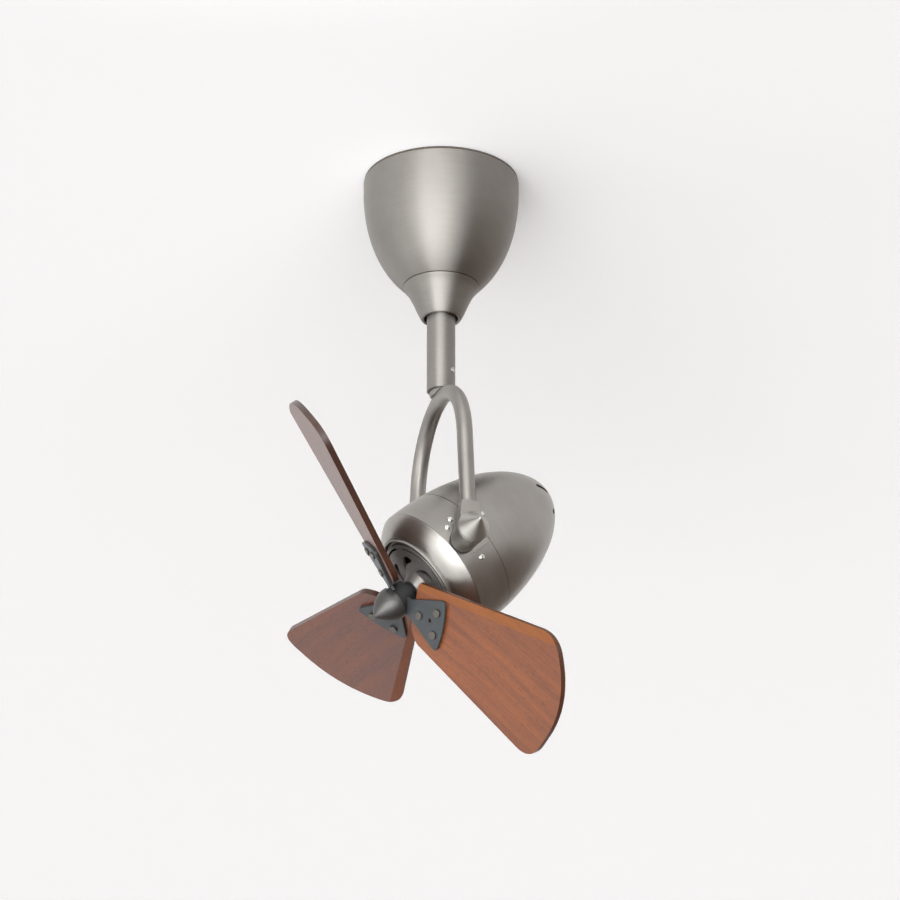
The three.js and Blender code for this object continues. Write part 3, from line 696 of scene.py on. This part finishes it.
def bright_zinc():
    """Bright zinc plate on small steel parts, with a slight uneven bloom."""
    finish = Finish("bright zinc", metallic=1)
    place = finish.placed()
    bloom = finish.noise(place, 240, 3, 0.6)
    return finish.surface(finish.blend(bloom, (0.60, 0.59, 0.56), (0.78, 0.78, 0.76)), 0.2 + bloom * 0.16,
                          finish.noise(place, 1500, 2), 0.02 * mm, 0.4)


def machined_steel():
    """Bare steel, finely marked by the tool that turned it."""
    finish = Finish("machined steel", metallic=1)
    marks = finish.noise(finish.turned_by(finish.placed(), (0, 0, 0), (300, 2400, 300)), 1)
    return finish.surface(finish.blend(marks, (0.38, 0.38, 0.38), (0.56, 0.56, 0.55)), 0.3 + marks * 0.2,
                          marks, 0.02 * mm)


def cover_gunmetal():
    """Dark metallic paint over a cast front cover: fine flake and a faint cast texture."""
    finish = Finish("gunmetal paint", metallic=0.75)
    own = finish.own()
    flake = finish.noise(own, 3200, 2, 0.7)
    cast = finish.noise(own, 260, 4, 0.6)
    return finish.surface(finish.blend(flake, (0.18, 0.168, 0.158), (0.33, 0.312, 0.295)), 0.38 + cast * 0.16,
                          flake * 0.4 + cast * 0.6, 0.05 * mm)


def slate_paint(name, dark, light, roughness=0.42, metallic=0.25):
    """Satin paint over metal: a fine even powder texture, slightly cloudy."""
    finish = Finish(name, metallic=metallic)
    own = finish.own()
    powder = finish.noise(own, 1400, 3, 0.65)
    tone = finish.span(finish.noise(own, 60) * 0.5 + powder * 0.5, 0.3, 0.7)
    return finish.surface(finish.blend(tone, dark, light), roughness + (powder - 0.5) * 0.18,
                          powder, 0.05 * mm)


def mahogany(name, seed, tone):
    """Red-brown mahogany under a satin varnish; short fine grain runs slightly across the blade."""
    finish = Finish(name, coat_roughness=0.3)
    own = finish.own()
    x, y, z = finish.axes(own)
    beyond = y - band_root[1] - (x - band_root[0]) * band_rise
    band = finish.span(beyond, -0.2 * mm, 0.5 * mm)
    front = finish.span(z, -0.9 * blade_thickness, -0.7 * blade_thickness)
    planed_and_lit = band * front
    along = finish.turned_by(own, (0, 0, math.radians(9)))
    x, y, z = finish.axes(along)
    sway = finish.noise(finish.vector(x * 7, y * 9, z * 9 + seed), 1, 2)
    strand = y + (sway - 0.5) * 0.018
    rings = finish.noise(finish.vector(x * 4 + seed, strand * 70, z * 60), 1, 4, 0.55)
    streak = finish.noise(finish.vector(x * 22, strand * 650 + seed, z * 300), 1, 4, 0.65)
    pores = finish.noise(finish.vector(x * 150 + seed, strand * 2600, z * 900), 1, 2)
    cloud = finish.noise(finish.vector(x * 12, y * 16, seed), 1, 2)
    body = finish.blend(finish.span(rings, 0.3, 0.72), (0.150, 0.042, 0.012), (0.330, 0.108, 0.032))
    warm = finish.blend(finish.span(streak, 0.32, 0.7) * 0.6, body, (0.37, 0.130, 0.042))
    shaded = finish.blend(finish.span(cloud, 0.3, 0.7) * 0.3, warm, (0.18, 0.052, 0.017))
    pitted = finish.span(pores, 0.56, 0.68)
    wood = finish.blend(pitted * 0.7, shaded, (0.085, 0.030, 0.013))
    # The planed band: less varnish and rougher, and lighter as a painted highlight where it faces the light
    board = finish.blend(planed_and_lit * 0.5, wood, (0.36, 0.155, 0.075))
    finish.set("Coat Weight", 0.6 - pitted * 0.3 - planed_and_lit * 0.4)
    # The tone is the blade's painted light, a lighter or darker copy of the same wood
    return finish.surface(finish.blend(1, board, tone, "MULTIPLY"), 0.42 + rings * 0.10 + planed_and_lit * 0.18,
                          0.5 + rings * 0.2 - pitted * 0.5 + streak * 0.2, 0.06 * mm)


def lamination():
    """Stacked steel sheets: fine lines square to the motor's axis."""
    finish = Finish("laminated steel", metallic=0.8)
    x, y, z = finish.axes(finish.turned_by(finish.placed(), (0, math.radians(90 - head_tilt), 0)))
    lines = finish.noise(finish.vector(x * 2, y * 2, z * 1600), 1, 2)
    return finish.surface(finish.blend(lines, (0.06, 0.06, 0.065), (0.16, 0.16, 0.165)), 0.45 + lines * 0.2,
                          lines, 0.1 * mm, 0.6)


def grained(name, dark, light, grain, roughness, depth, strength=0.5, metallic=0):
    """One even grain all over: grain is its noise's scale, detail and roughness."""
    finish = Finish(name, metallic=metallic)
    specks = finish.noise(finish.placed(), *grain)
    least, more = roughness
    return finish.surface(finish.blend(specks, dark, light), least + specks * more, specks, depth, strength)


nickel_color = (0.345, 0.327, 0.305)
turned_nickel = satin_nickel("satin nickel, turned", nickel_color, roughness=0.46, streak=0.88)
spun_nickel = satin_nickel("satin nickel, spun", nickel_color)
drawn_nickel = satin_nickel("satin nickel, drawn", nickel_color, roughness=0.40, spun=False, streak=0.85)
cast_nickel = satin_nickel("satin nickel, cast", nickel_color, roughness=0.44, spun=False, streak=0.6)
# Painted highlight: the cone caps take a lighter copy of the same nickel, for the brighter light they catch
cap_nickel_lit = satin_nickel("satin nickel, cone cap", (0.46, 0.445, 0.42), roughness=0.42, spun=False)
bezel_nickel = satin_nickel("satin nickel, polished shoulder", (0.42, 0.405, 0.382), roughness=0.34)
zinc = bright_zinc()
steel = machined_steel()
gunmetal = cover_gunmetal()
slate = slate_paint("slate paint", (0.042, 0.047, 0.051), (0.068, 0.075, 0.080))
spinner_slate = slate_paint("dark slate paint", (0.085, 0.083, 0.080), (0.130, 0.127, 0.122), 0.36, 0.8)
# The hub is near-black, darker than the irons
hub_near_black = slate_paint("near-black hub", (0.010, 0.010, 0.011), (0.022, 0.022, 0.023), 0.5, 0.1)
bronzed = slate_paint("bronzed screw heads", (0.11, 0.098, 0.085), (0.18, 0.16, 0.14), 0.38, 0.7)
laminated = lamination()
rubber = grained("gasket rubber", (0.075, 0.062, 0.050), (0.12, 0.10, 0.083), (500,), (0.75, 0.15), 0.05 * mm)
nylon = grained("black nylon", (0.018, 0.018, 0.020), (0.035, 0.035, 0.037), (900,), (0.45, 0.2),
                0.05 * mm, 0.4)
copper_wire = grained("enamelled copper wire", (0.22, 0.075, 0.03), (0.50, 0.20, 0.09), (700, 4, 0.7),
                      (0.3, 0.2), 0.3 * mm, 0.8, metallic=0.8)
aluminium = grained("cast aluminium", (0.34, 0.34, 0.35), (0.50, 0.50, 0.51), (420, 4, 0.65),
                    (0.45, 0.2), 0.12 * mm, 0.6, metallic=0.9)


# Canopy, gasket and collar
def make_canopy():
    start = (canopy_neck_radius, -canopy_depth)
    pulls = [(canopy_radius * across, -canopy_depth * down) for across, down in canopy_pulls]
    outside = curve(start, *pulls, (canopy_radius, -canopy_skirt), steps=40)
    outside.append((canopy_radius, -gasket_thickness - fit))
    inside = inset(outside, canopy_wall)[::-1]
    inside[-1] = (inside[-1][0], -canopy_depth + canopy_wall)
    first = (canopy_opening, -canopy_depth)
    profile = [first, *outside, *inside, (canopy_opening, -canopy_depth + canopy_wall), first]
    canopy = turned("canopy_bell", eased(profile, usual_edge))
    paint(canopy, turned_nickel)
    settle(canopy, "mount", "canopy")
    rim = ring(gasket_radius - gasket_width, gasket_radius, -gasket_thickness, 0)
    gasket = turned("canopy_gasket_ring", eased(rim, usual_edge))
    paint(gasket, rubber)
    settle(gasket, "mount", "canopy_gasket")


def make_collar():
    top = -canopy_depth - collar_joint
    reach = canopy_neck_radius - collar_end_radius
    outside = smooth_line([(collar_end_radius + reach * across, top - collar_length * down)
                           for across, down in collar_shares], steps=6)
    inside = inset(outside, collar_wall)[::-1]
    inside[0] = (inside[0][0], top)
    inside[-1] = (collar_opening, top - collar_length + collar_wall)
    lower_edge = (collar_opening, top - collar_length)
    collar = turned("canopy_collar_cone", eased([lower_edge, *outside, *inside, lower_edge], soft_edge))
    paint(collar, turned_nickel)
    settle(collar, "mount", "canopy_collar")


# Hanger ball, downrod and set screw
def make_ball():
    low = -math.asin(ball_bottom_cut / ball_radius)
    high = math.asin(ball_top_cut / ball_radius)
    outside = arc_points(ball_radius, ball_radius, low, high, steps=24, centre=(0, -ball_depth))
    bore = rod_radius + fit
    first = (bore, outside[0][1])
    profile = [first, *outside, (bore, outside[-1][1]), first]
    ball = turned("hanger_ball_round", eased(profile, usual_edge), middle_sides)
    paint(ball, nylon)
    settle(ball, "mount", "hanger_ball")


def make_rod():
    inner = rod_radius - rod_wall
    profile = ring(inner, rod_radius, -rod_bottom_depth, -rod_top_depth)
    rod = turned("downrod_tube", eased(profile, usual_edge), middle_sides)
    hole = pin("hole", set_screw_radius + fit, 0, rod_radius + tool_overrun)
    combine(rod, "DIFFERENCE", [shift(hole, at_set_screw)])
    paint(rod, turned_nickel)
    settle(rod, "mount", "downrod")
    low = inner - stem_groove_depth
    end = rod_radius + set_screw_stand
    profile = [(0, low), (set_screw_radius, low), (set_screw_radius, end), (set_screw_socket, end),
               (set_screw_socket, end - set_screw_socket_depth), (0, end - set_screw_socket_depth)]
    screw = turned("rod_grub_screw", eased(profile, small_edge), small_sides)
    paint(screw, zinc)
    settle(screw, "mount", "rod_set_screw", place=at_set_screw)


# Yoke
def make_stem():
    radius = rod_radius - rod_wall - fit
    low = -rod_bottom_depth - stem_drop
    top = -rod_bottom_depth + stem_length
    end = radius - stem_chamfer
    profile = [(stem_bore, low), (end, low), (radius, low + stem_chamfer), (radius, top - stem_chamfer),
               (end, top), (stem_bore, top), (stem_bore, low)]
    stem = turned("yoke_stem_turned", eased(profile, crisp_edge), middle_sides)
    saddle = pin("saddle", tube_radius + fit, -bend_radius / 2, bend_radius / 2, middle_sides)
    centre = moved(0, 0, -rod_bottom_depth - tube_radius - fit)
    combine(stem, "DIFFERENCE", [shift(saddle, centre @ along_pivot)])
    paint(stem, spun_nickel)
    settle(stem, "yoke", "yoke_stem")


bend_depth = rod_bottom_depth + tube_radius + fit + bend_radius
leg_start_half = bend_radius * math.cos(math.radians(splay))
leg_start_depth = bend_depth - bend_radius * math.sin(math.radians(splay))


def leg_half(depth):
    return leg_start_half + (depth - leg_start_depth) * math.tan(math.radians(splay))


def make_yoke_tube():
    """A round section run up one leg, spun over the bend and run down the other."""
    end_depth = pivot_depth - sleeve_seat_rise - fit
    foot = Vector((0, -leg_half(end_depth), -end_depth))
    knee = Vector((0, -leg_start_half, -leg_start_depth))
    bend = math.radians(180 - 2 * splay)
    bpy.ops.object.select_all(action="DESELECT")
    bpy.ops.mesh.primitive_circle_add(vertices=middle_sides, radius=tube_radius, fill_type="NGON",
                                      location=foot, rotation=(math.radians(-splay), 0, 0))
    piece = bpy.context.object
    piece.name = "yoke_bent_tube"
    bpy.ops.object.transform_apply(location=True, rotation=True, scale=True)
    bpy.ops.object.mode_set(mode="EDIT")
    bpy.ops.mesh.select_all(action="SELECT")
    extrude(knee - foot)
    bpy.ops.mesh.spin(steps=72, angle=bend, center=(0, 0, -bend_depth), axis=(1, 0, 0))
    extrude((0, knee.y - foot.y, foot.z - knee.z))
    close_up()
    paint(piece, drawn_nickel)
    settle(piece, "yoke", "yoke_tube")


def make_yoke_ends():
    """Socket, cone cap and washer on one side, and the same turned half round on the other."""
    outer = leg_half(pivot_depth) + boss_reach
    lean = moved(0, -leg_half(pivot_depth), 0) @ about(-splay, "X")
    sleeve_radius = tube_radius + fit + sleeve_wall
    barrel = [(0, boss_inner), (boss_root_radius, boss_inner), (boss_radius, outer - boss_chamfer),
              (boss_radius - boss_chamfer, outer), (0, outer)]
    socket = shift(turned("socket", barrel, middle_sides), along_pivot)
    sleeve = shift(pin("sleeve", sleeve_radius, 0, sleeve_rise, middle_sides), lean)
    outline = rounded([(-fairing_base_half, 0, 0), (fairing_base_half, 0, 0),
                       (fairing_half, fairing_rise, fairing_corner_radius),
                       (-fairing_half, fairing_rise, fairing_corner_radius)])
    fairing = shift(plate("fairing", outline, -fairing_depth, sleeve_radius), lean @ along_pivot)
    combine(socket, "UNION", [sleeve, fairing])
    bore = pin("bore", tube_radius + fit, sleeve_seat_rise, sleeve_rise + tool_overrun, middle_sides)
    combine(socket, "DIFFERENCE", [shift(bore, lean)])
    apply_modifier(socket, "REMESH", mode="VOXEL", voxel_size=socket_voxel)
    apply_modifier(socket, "SMOOTH", factor=0.5, iterations=socket_smoothing)
    base = outer + fit
    profile = [(0, base), (boss_radius, base), (boss_radius, base + cap_rim),
               (cap_tip_radius, base + cap_height - cap_tip_radius / 2), (0, base + cap_height)]
    cap = shift(turned("cap", eased(profile, usual_edge, least_turn=15), middle_sides), along_pivot)
    face = boss_inner - fit
    profile = ring(bolt_radius + fit, washer_radius, face - washer_thickness, face)
    washer = shift(turned("washer", eased(profile, crisp_edge), middle_sides), along_pivot)
    for side, turn in both_sides:
        place = moved(0, 0, -pivot_depth) @ about(turn, "Z")
        for model, name, node, material, slot in (
                (socket, "yoke_socket_cast", "yoke_socket", cast_nickel, "nickel"),
                (cap, "cone_cap_turned", "cone_cap", cap_nickel_lit, "nickel"),
                (washer, "pivot_washer_ring", "pivot_washer", nylon, "black_plastic")):
            piece = copy_of(model, f"{side}_{name}")
            paint(piece, material)
            settle(piece, "yoke", f"{side}_{node}", place=place)
    for model in (socket, cap, washer):
        bpy.data.objects.remove(model)


# Motor head
def housing_width(place):
    share = (place - housing_wide_place) / housing_nose_length
    return housing_radius * math.sqrt(max(1 - share * share, 0))


def arc_slot(radius, width, sweep):
    """The outline of a curved slot with round ends, centred on +X."""
    half = math.radians(sweep) / 2
    x, y = radius * math.cos(half), radius * math.sin(half)
    low, high = math.radians(45), math.radians(135)
    return [*arc_points(radius + width / 2, radius + width / 2, -half, half, steps=16),
            *arc_points(width / 2, width / 2, half + low, half + high, steps=2, centre=(x, y)),
            *arc_points(radius - width / 2, radius - width / 2, half, -half, steps=16),
            *arc_points(width / 2, width / 2, -half - high, -half - low, steps=2, centre=(x, -y))]


def make_housing_rear():
    """The egg-shaped rear shell; its vent walls keep the cutters' black, a painted shade for the slots' dark
    insides.
    """
    lines = []
    for wall in (0, housing_wall):
        length = housing_nose_length - wall
        first = math.asin((housing_wide_place - housing_seam + fit) / length)
        line = arc_points(housing_radius - wall, -length, first, math.pi / 2, steps=64,
                          centre=(0, housing_wide_place))
        lines.append(onto_axis(line))
    outside, inside = lines
    rear = turned("housing_rear_shell", [*outside[::-1], *inside])
    paint(rear, spun_nickel)
    end, side = vent_length / 2, vent_width / 2
    slot = panel(-end, end, -side, side, side * vent_corner_share)
    low = -housing_nose_length - tool_overrun
    vents = []
    for angle in vent_angles:
        vent = plate("vent", slot, low, -housing_nose_length * vent_depth_share)
        # Painted shade: the cutters are black, so the slot walls they leave are painted dark
        paint(vent, nylon)
        slant = math.copysign(vent_slant, -angle)
        vents.append(shift(vent, about(angle, "Z") @ moved(vent_ring_radius, 0, 0) @ about(slant, "Z")))
    combine(rear, "DIFFERENCE", vents, "TRANSFER")
    settle(rear, "head", "housing_rear", place=head_place)


def make_housing_front():
    """The front shell, with a round pad and a raised land under each pivot."""
    steps = 24
    run = bezel_start - fit - housing_seam
    places = [housing_seam + run * i / steps for i in range(steps + 1)]
    outside = [(housing_width(place), place) for place in places]
    inside = [(radius - housing_wall, place) for radius, place in outside][::-1]
    front = turned("housing_front_shell", eased([*outside, *inside, outside[0]], crisp_edge))
    pad_face = boss_inner - 2 * fit - washer_thickness
    pad = (pad_radius, housing_radius - housing_wall / 2, pad_face, middle_sides)
    raised = [shift(pin("pad", *pad), about(turn, "X")) for turn in (90, -90)]
    outline = panel(-land_half_width, land_half_width, land_rear, land_front, land_corner_radius)
    for turn in (0, 180):
        land = plate("land", outline, land_root, pad_face - land_drop)
        soften(land, small_edge, segments=2)
        raised.append(shift(land, about(turn, "Z") @ along_pivot))
    combine(front, "UNION", raised)
    bores = [shift(pin("bore", bolt_radius + fit, 0, boss_inner), about(turn, "X")) for turn in (90, -90)]
    combine(front, "DIFFERENCE", bores)
    paint(front, spun_nickel)
    settle(front, "head", "housing_front", place=head_place)


def make_bezel():
    start = (housing_width(bezel_start), bezel_start)
    end = (lip_radius + bezel_step, bezel_end)
    pulls = [(end[0] + (start[0] - end[0]) * across, start[1] + (end[1] - start[1]) * along)
             for across, along in bezel_pulls]
    shoulder = curve(start, *pulls, end, steps=32)
    inside = inset(shoulder, housing_wall)[::-1]
    inside[-1] = (start[0] - housing_wall, bezel_start)
    back = inside[0][1] - housing_wall
    inner = lip_radius - lip_width
    profile = [*shoulder, (lip_radius, lip_groove), (lip_radius, lip_front), (inner, lip_front),
               (inner, back), (inside[0][0], back), *inside, start]
    bezel = turned("front_bezel_rolled", eased(profile, bezel_edge))
    paint(bezel, bezel_nickel)
    settle(bezel, "head", "front_bezel", place=head_place)


def comma_slot():
    """A comma: a fat head near the rim, whose tail sweeps in to a point near the middle."""
    rough = []
    for radius_share, turn_share in comma_shares:
        radius = comma_inner + (comma_outer - comma_inner) * radius_share
        angle = math.radians(-comma_sweep * turn_share)
        rough.append((radius * math.cos(angle), radius * math.sin(angle)))
    return smooth_line(rough, steps=5)[:-1]


def make_cover():
    rim = lip_radius - lip_width - fit
    edge = rim - cover_groove_width
    back = cover_face - cover_thickness
    first = (bearing_room_radius, cover_boss_rear)
    profile = [first, (cover_boss_radius, cover_boss_rear), (cover_boss_radius, back),
               (edge - cover_thickness, back), (edge - cover_thickness, cover_rim_front - cover_thickness),
               (rim, cover_rim_front - cover_thickness), (rim, cover_rim_front), (edge, cover_rim_front),
               (edge, cover_face), (cover_boss_radius + cover_boss_foot, cover_face),
               (cover_boss_radius - cover_boss_neck, cover_boss_front), (cover_bore, cover_boss_front),
               (cover_bore, bearing_room_front), (bearing_room_radius, bearing_room_front), first]
    cover = turned("front_cover_slotted", eased(profile, cast_edge))
    thin_slot = arc_slot(arc_slot_radius, arc_slot_width, arc_slot_sweep)
    thin = plate("thin_slot", thin_slot, back - tool_overrun, cover_face + tool_overrun)
    comma = plate("comma", comma_slot(), back - tool_overrun, cover_boss_front)
    slots = []
    for i in range(comma_count):
        for model, phase in ((thin, arc_slot_phase), (comma, comma_phase)):
            slots.append(shift(copy_of(model, "slot"), about(phase + 360 * i / comma_count, "Z")))
    combine(cover, "DIFFERENCE", slots)
    for model in (thin, comma):
        bpy.data.objects.remove(model)
    soften(cover, crisp_edge, segments=2, angle=50)
    paint(cover, gunmetal)
    settle(cover, "head", "front_cover", place=head_place)


def make_side_screws():
    """Small dome screws standing square to the housing, four round each pivot."""
    top = arc_points(side_screw_radius, side_screw_height, 0, math.pi / 2, steps=8, centre=(0, fit))
    dome = turned("dome", [(0, 0), (side_screw_radius, 0), *onto_axis(top)], small_sides)
    bar = panel(-cross_half_length, cross_half_length, -cross_half_width, cross_half_width)
    bars = [shift(plate("bar", bar, side_screw_height * cross_floor_share, side_screw_height * 3),
                  about(turn, "Z")) for turn in cross_turns]
    combine(dome, "DIFFERENCE", bars)
    for side, turn in both_sides:
        for name, (place, offset) in side_screw_places.items():
            seat = housing_width(place)
            lean = about(turn + math.degrees(math.asin(offset / seat)), "Z") @ along_pivot
            screw = copy_of(dome, f"{side}_{name}_dome_screw")
            paint(screw, zinc)
            settle(screw, "head", f"{side}_{name}_housing_screw",
                   place=head_place @ moved(0, 0, place) @ lean @ moved(0, 0, seat))
    bpy.data.objects.remove(dome)


# Rotor
def blade_frame(angle):
    """From the head's frame to the arm's that stands at an angle round the shaft."""
    return moved(0, 0, blade_plane) @ about(angle, "Z") @ about(blade_pitch, "X")


def make_hub():
    first = (hub_bore, hub_rear)
    profile = [first, (hub_neck_radius, hub_rear), (hub_neck_radius, hub_shoulder),
               (hub_radius, hub_shoulder), (hub_radius, hub_front), (hub_bore, hub_front), first]
    hub = turned("hub_turned", eased(profile, cast_edge), middle_sides)
    half = iron_neck_half + fit
    way = panel(iron_inner - fit, hub_radius + tool_overrun, -half, half)
    combine(hub, "DIFFERENCE", [shift(plate("way", way, 0, iron_thickness + 2 * fit), blade_frame(angle))
                                for angle in blade_angles])
    paint(hub, hub_near_black)
    settle(hub, "rotor", "hub", place=head_place)


def make_spinner():
    steps = 36
    base = hub_front + fit
    outside = [(spinner_radius, base), (spinner_radius, base + spinner_rim)]
    for i in range(1, steps):
        share = i / steps
        radius = spinner_radius * math.cos(share * math.pi / 2) ** spinner_power
        outside.append((radius, base + spinner_rim + (spinner_length - spinner_rim) * share))
    profile = [(0, base), *outside, (0, base + spinner_length)]
    spinner = turned("spinner_ogive", eased(profile, plate_edge), middle_sides)
    paint(spinner, spinner_slate)
    settle(spinner, "rotor", "spinner", place=head_place)


def iron_outline():
    corner = iron_outer - iron_bulge
    return rounded([
        (iron_inner, -iron_neck_half, 0), (iron_neck_end, -iron_neck_half, iron_neck_corner_radius),
        (corner, -iron_outer_half, iron_corner_radius), (iron_outer, 0, iron_bulge_radius),
        (corner, iron_outer_half, iron_corner_radius),
        (iron_neck_end, iron_neck_half, iron_neck_corner_radius), (iron_inner, iron_neck_half, 0)])


def blade_outline():
    bulge = blade_tip_radius - blade_tip_corner
    return rounded([
        (blade_root, -blade_root_nose_half, blade_root_corner_radius),
        (blade_root + blade_root_slant, -blade_root_half, blade_root_corner_radius),
        (blade_tip_corner, -blade_front_tip_half, blade_corner_radius),
        (blade_tip_radius + bulge / 2, 0, blade_rear_tip_half * blade_tip_round_share),
        (blade_tip_corner, blade_rear_tip_half, blade_corner_radius),
        (blade_root, blade_root_rear_half, blade_root_rear_radius)], steps=12)


def plane_off_band(blade):
    """Slopes the front face back along the edge nearer the motor."""
    outward = Vector((-band_rise, 1, 0)).normalized()
    root = Vector((*band_root, 0))
    only(blade)
    bpy.ops.object.mode_set(mode="EDIT")
    bpy.ops.mesh.select_all(action="SELECT")
    bpy.ops.mesh.bisect(plane_co=root, plane_no=outward)
    bpy.ops.object.mode_set(mode="OBJECT")
    for vertex in blade.data.vertices:
        beyond = (vertex.co - root).dot(outward)
        if vertex.co.z > -merge_reach and beyond > merge_reach:
            vertex.co.z -= beyond * math.tan(math.radians(band_slope))


def make_arm(number, angle, tone):
    """One iron with its blade and three screws, in the arm's own frame."""
    place = head_place @ blade_frame(angle)
    screw_holes = [(x, y, screw_radius + fit) for x, y in screw_places]
    iron = plate(f"blade_iron_{number}_plate", iron_outline(), fit, fit + iron_thickness)
    drill(iron, [*screw_holes, (iron_hole_place, 0, iron_hole_radius)], -tool_overrun, tool_overrun * 2)
    soften(iron, plate_edge)
    paint(iron, slate)
    settle(iron, "rotor", f"blade_iron_{number}", place=place)
    blade = plate(f"blade_{number}_board", blade_outline(), -blade_thickness, 0)
    plane_off_band(blade)
    drill(blade, screw_holes, -blade_thickness * 2, tool_overrun)
    soften(blade, soft_edge, angle=band_slope - 2)
    # Painted shade: the side edges take a darker copy of the wood, for the shade they fall in
    shade_darkened = tuple(channel * edge_shade_share for channel in tone)
    paint(blade, mahogany(f"mahogany, blade {number}", number * grain_step, tone),
          mahogany(f"mahogany, stained edge of blade {number}", number * grain_step, shade_darkened))
    for face in blade.data.polygons:
        face.material_index = 1 if abs(face.normal.z) < edge_slope else 0
    settle(blade, "rotor", f"blade_{number}", place=place)
    seat = iron_thickness + 2 * fit
    tip = -blade_thickness - screw_tip
    profile = [(0, tip), (screw_radius, tip), (screw_radius, seat), (screw_head_radius, seat),
               (screw_head_radius, seat + screw_head_height), (0, seat + screw_head_height)]
    for i, (x, y) in enumerate(screw_places):
        screw = turned(f"blade_{number}_rivet_screw_{i + 1}", eased(profile, usual_edge), small_sides)
        paint(screw, bronzed, zinc)
        for face in screw.data.polygons:
            face.material_index = 1 if face.center.z < seat / 2 else 0
        settle(screw, "rotor", f"blade_{number}_screw_{i + 1}", place=place @ moved(x, y, 0))


# CAD solids that stay: mostly inside the canopy and the motor
def finish_hidden_solids():
    for material, nodes in (
            (zinc, ("ceiling_bracket", "canopy_screw_front", "canopy_screw_back")),
            (steel, ("hanger_pin", "motor_shaft", "front_bearing", "rear_bearing", "near_pivot_plate",
                     "near_pivot_bolt", "far_pivot_plate", "far_pivot_bolt")),
            (laminated, ("stator_core", "rotor_core")),
            (copper_wire, ("winding_front", "winding_rear")),
            (aluminium, ("motor_rear_cover",)),
            (nylon, ("run_capacitor",))):
        for node in nodes:
            paint(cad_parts[node], material)


# Ceiling and light
def make_ceiling():
    """A pale ceiling that is only there from below."""
    bpy.ops.mesh.primitive_plane_add(size=2 * ceiling_half, location=(0, 0, ceiling_gap),
                                     rotation=(math.pi, 0, 0))
    ceiling = bpy.context.object
    ceiling.name = "ceiling"
    finish = Finish("ceiling paint", roughness=0.9, base_color=(0.90, 0.905, 0.915), emission_strength=1)
    path = finish.node("ShaderNodeLightPath")
    seen = finish.out(path, "Is Camera Ray") + finish.out(path, "Is Glossy Ray")
    seen = finish.maths("MINIMUM", seen + finish.out(path, "Is Transmission Ray"), 1)
    finish.set("Emission Color", finish.blend(seen, (0, 0, 0), (ceiling_lift,) * 3))
    clear = finish.out(finish.node("ShaderNodeBsdfTransparent"))
    behind = finish.out(finish.node("ShaderNodeNewGeometry"), "Backfacing")
    mixed = finish.node("ShaderNodeMixShader", None, {0: behind, 1: finish.out(finish.shader), 2: clear})
    finish.feed(finish.tree.nodes["Material Output"].inputs["Surface"], finish.out(mixed))
    paint(ceiling, finish.material)


def add_sun(name, azimuth, rise, strength, spread):
    """A soft far lamp that stands toward an azimuth and a rise above the horizon."""
    bpy.ops.object.light_add(type="SUN")
    lamp = bpy.context.object
    lamp.name = name
    lamp.data.energy = strength
    lamp.data.angle = math.radians(spread)
    lamp.rotation_euler = toward(azimuth, rise).to_track_quat("Z", "Y").to_euler()


def add_uplight():
    """Brightens the ceiling in front of the fan, which the upright tubes mirror as a pale band."""
    place = toward(uplight_azimuth) * uplight_reach - Vector((0, 0, uplight_drop))
    bpy.ops.object.light_add(type="SPOT", location=place, rotation=(math.pi, 0, 0))
    lamp = bpy.context.object
    lamp.name = "uplight"
    lamp.data.energy = uplight_power
    lamp.data.spot_size = math.radians(uplight_spread)
    lamp.data.spot_blend = uplight_blend
    lamp.data.shadow_soft_size = uplight_size


def light_world():
    """A pale window in front, dimmer light from the left and the back; the right and the floor are brown."""
    world = bpy.data.worlds.new("studio")
    bpy.context.scene.world = world
    world.use_nodes = True
    sky = Nodes(world.node_tree)
    x, y, z = sky.axes(sky.out(sky.node("ShaderNodeTexCoord"), "Generated"))
    reach = sky.maths("SQRT", x * x + y * y + 1e-6)

    def light_from(azimuth, edge, full, strength):
        side = toward(azimuth)
        return sky.span((x * side.x + y * side.y) / reach, edge, full) * strength

    core = light_from(*window_core) * sky.span(z, *core_floor_span, floor_share)
    side = toward(*low_left_side)
    low_left = sky.span(x * side.x + y * side.y + z * side.z, *low_left_span) * low_left_level
    level = room_level + light_from(*left_light) + light_from(*back_light) + light_from(*window_light)
    level = (level + core + low_left) * sky.span(z, *floor_span, floor_share)
    background = world.node_tree.nodes["Background"]
    sky.feed(background.inputs["Color"], sky.blend(sky.span(level, *dim_span), dim_tint, (1, 1, 1)))
    sky.feed(background.inputs["Strength"], level)


def light_scene():
    bpy.context.scene.view_settings.view_transform = "Standard"
    light_world()
    add_sun("front lamp", azimuth=26, rise=-18, strength=0.75, spread=46)
    add_sun("low lamp", azimuth=75, rise=-40, strength=0.4, spread=60)
    add_uplight()


set_camera()
make_canopy()
make_collar()
make_ball()
make_rod()
make_stem()
make_yoke_tube()
make_yoke_ends()
make_housing_rear()
make_housing_front()
make_bezel()
make_cover()
make_side_screws()
make_hub()
make_spinner()
for arm_number, arm_angle, arm_light_tone in zip((3, 2, 1), blade_angles, blade_light_tones):
    make_arm(arm_number, arm_angle, arm_light_tone)
finish_hidden_solids()
make_ceiling()
light_scene()
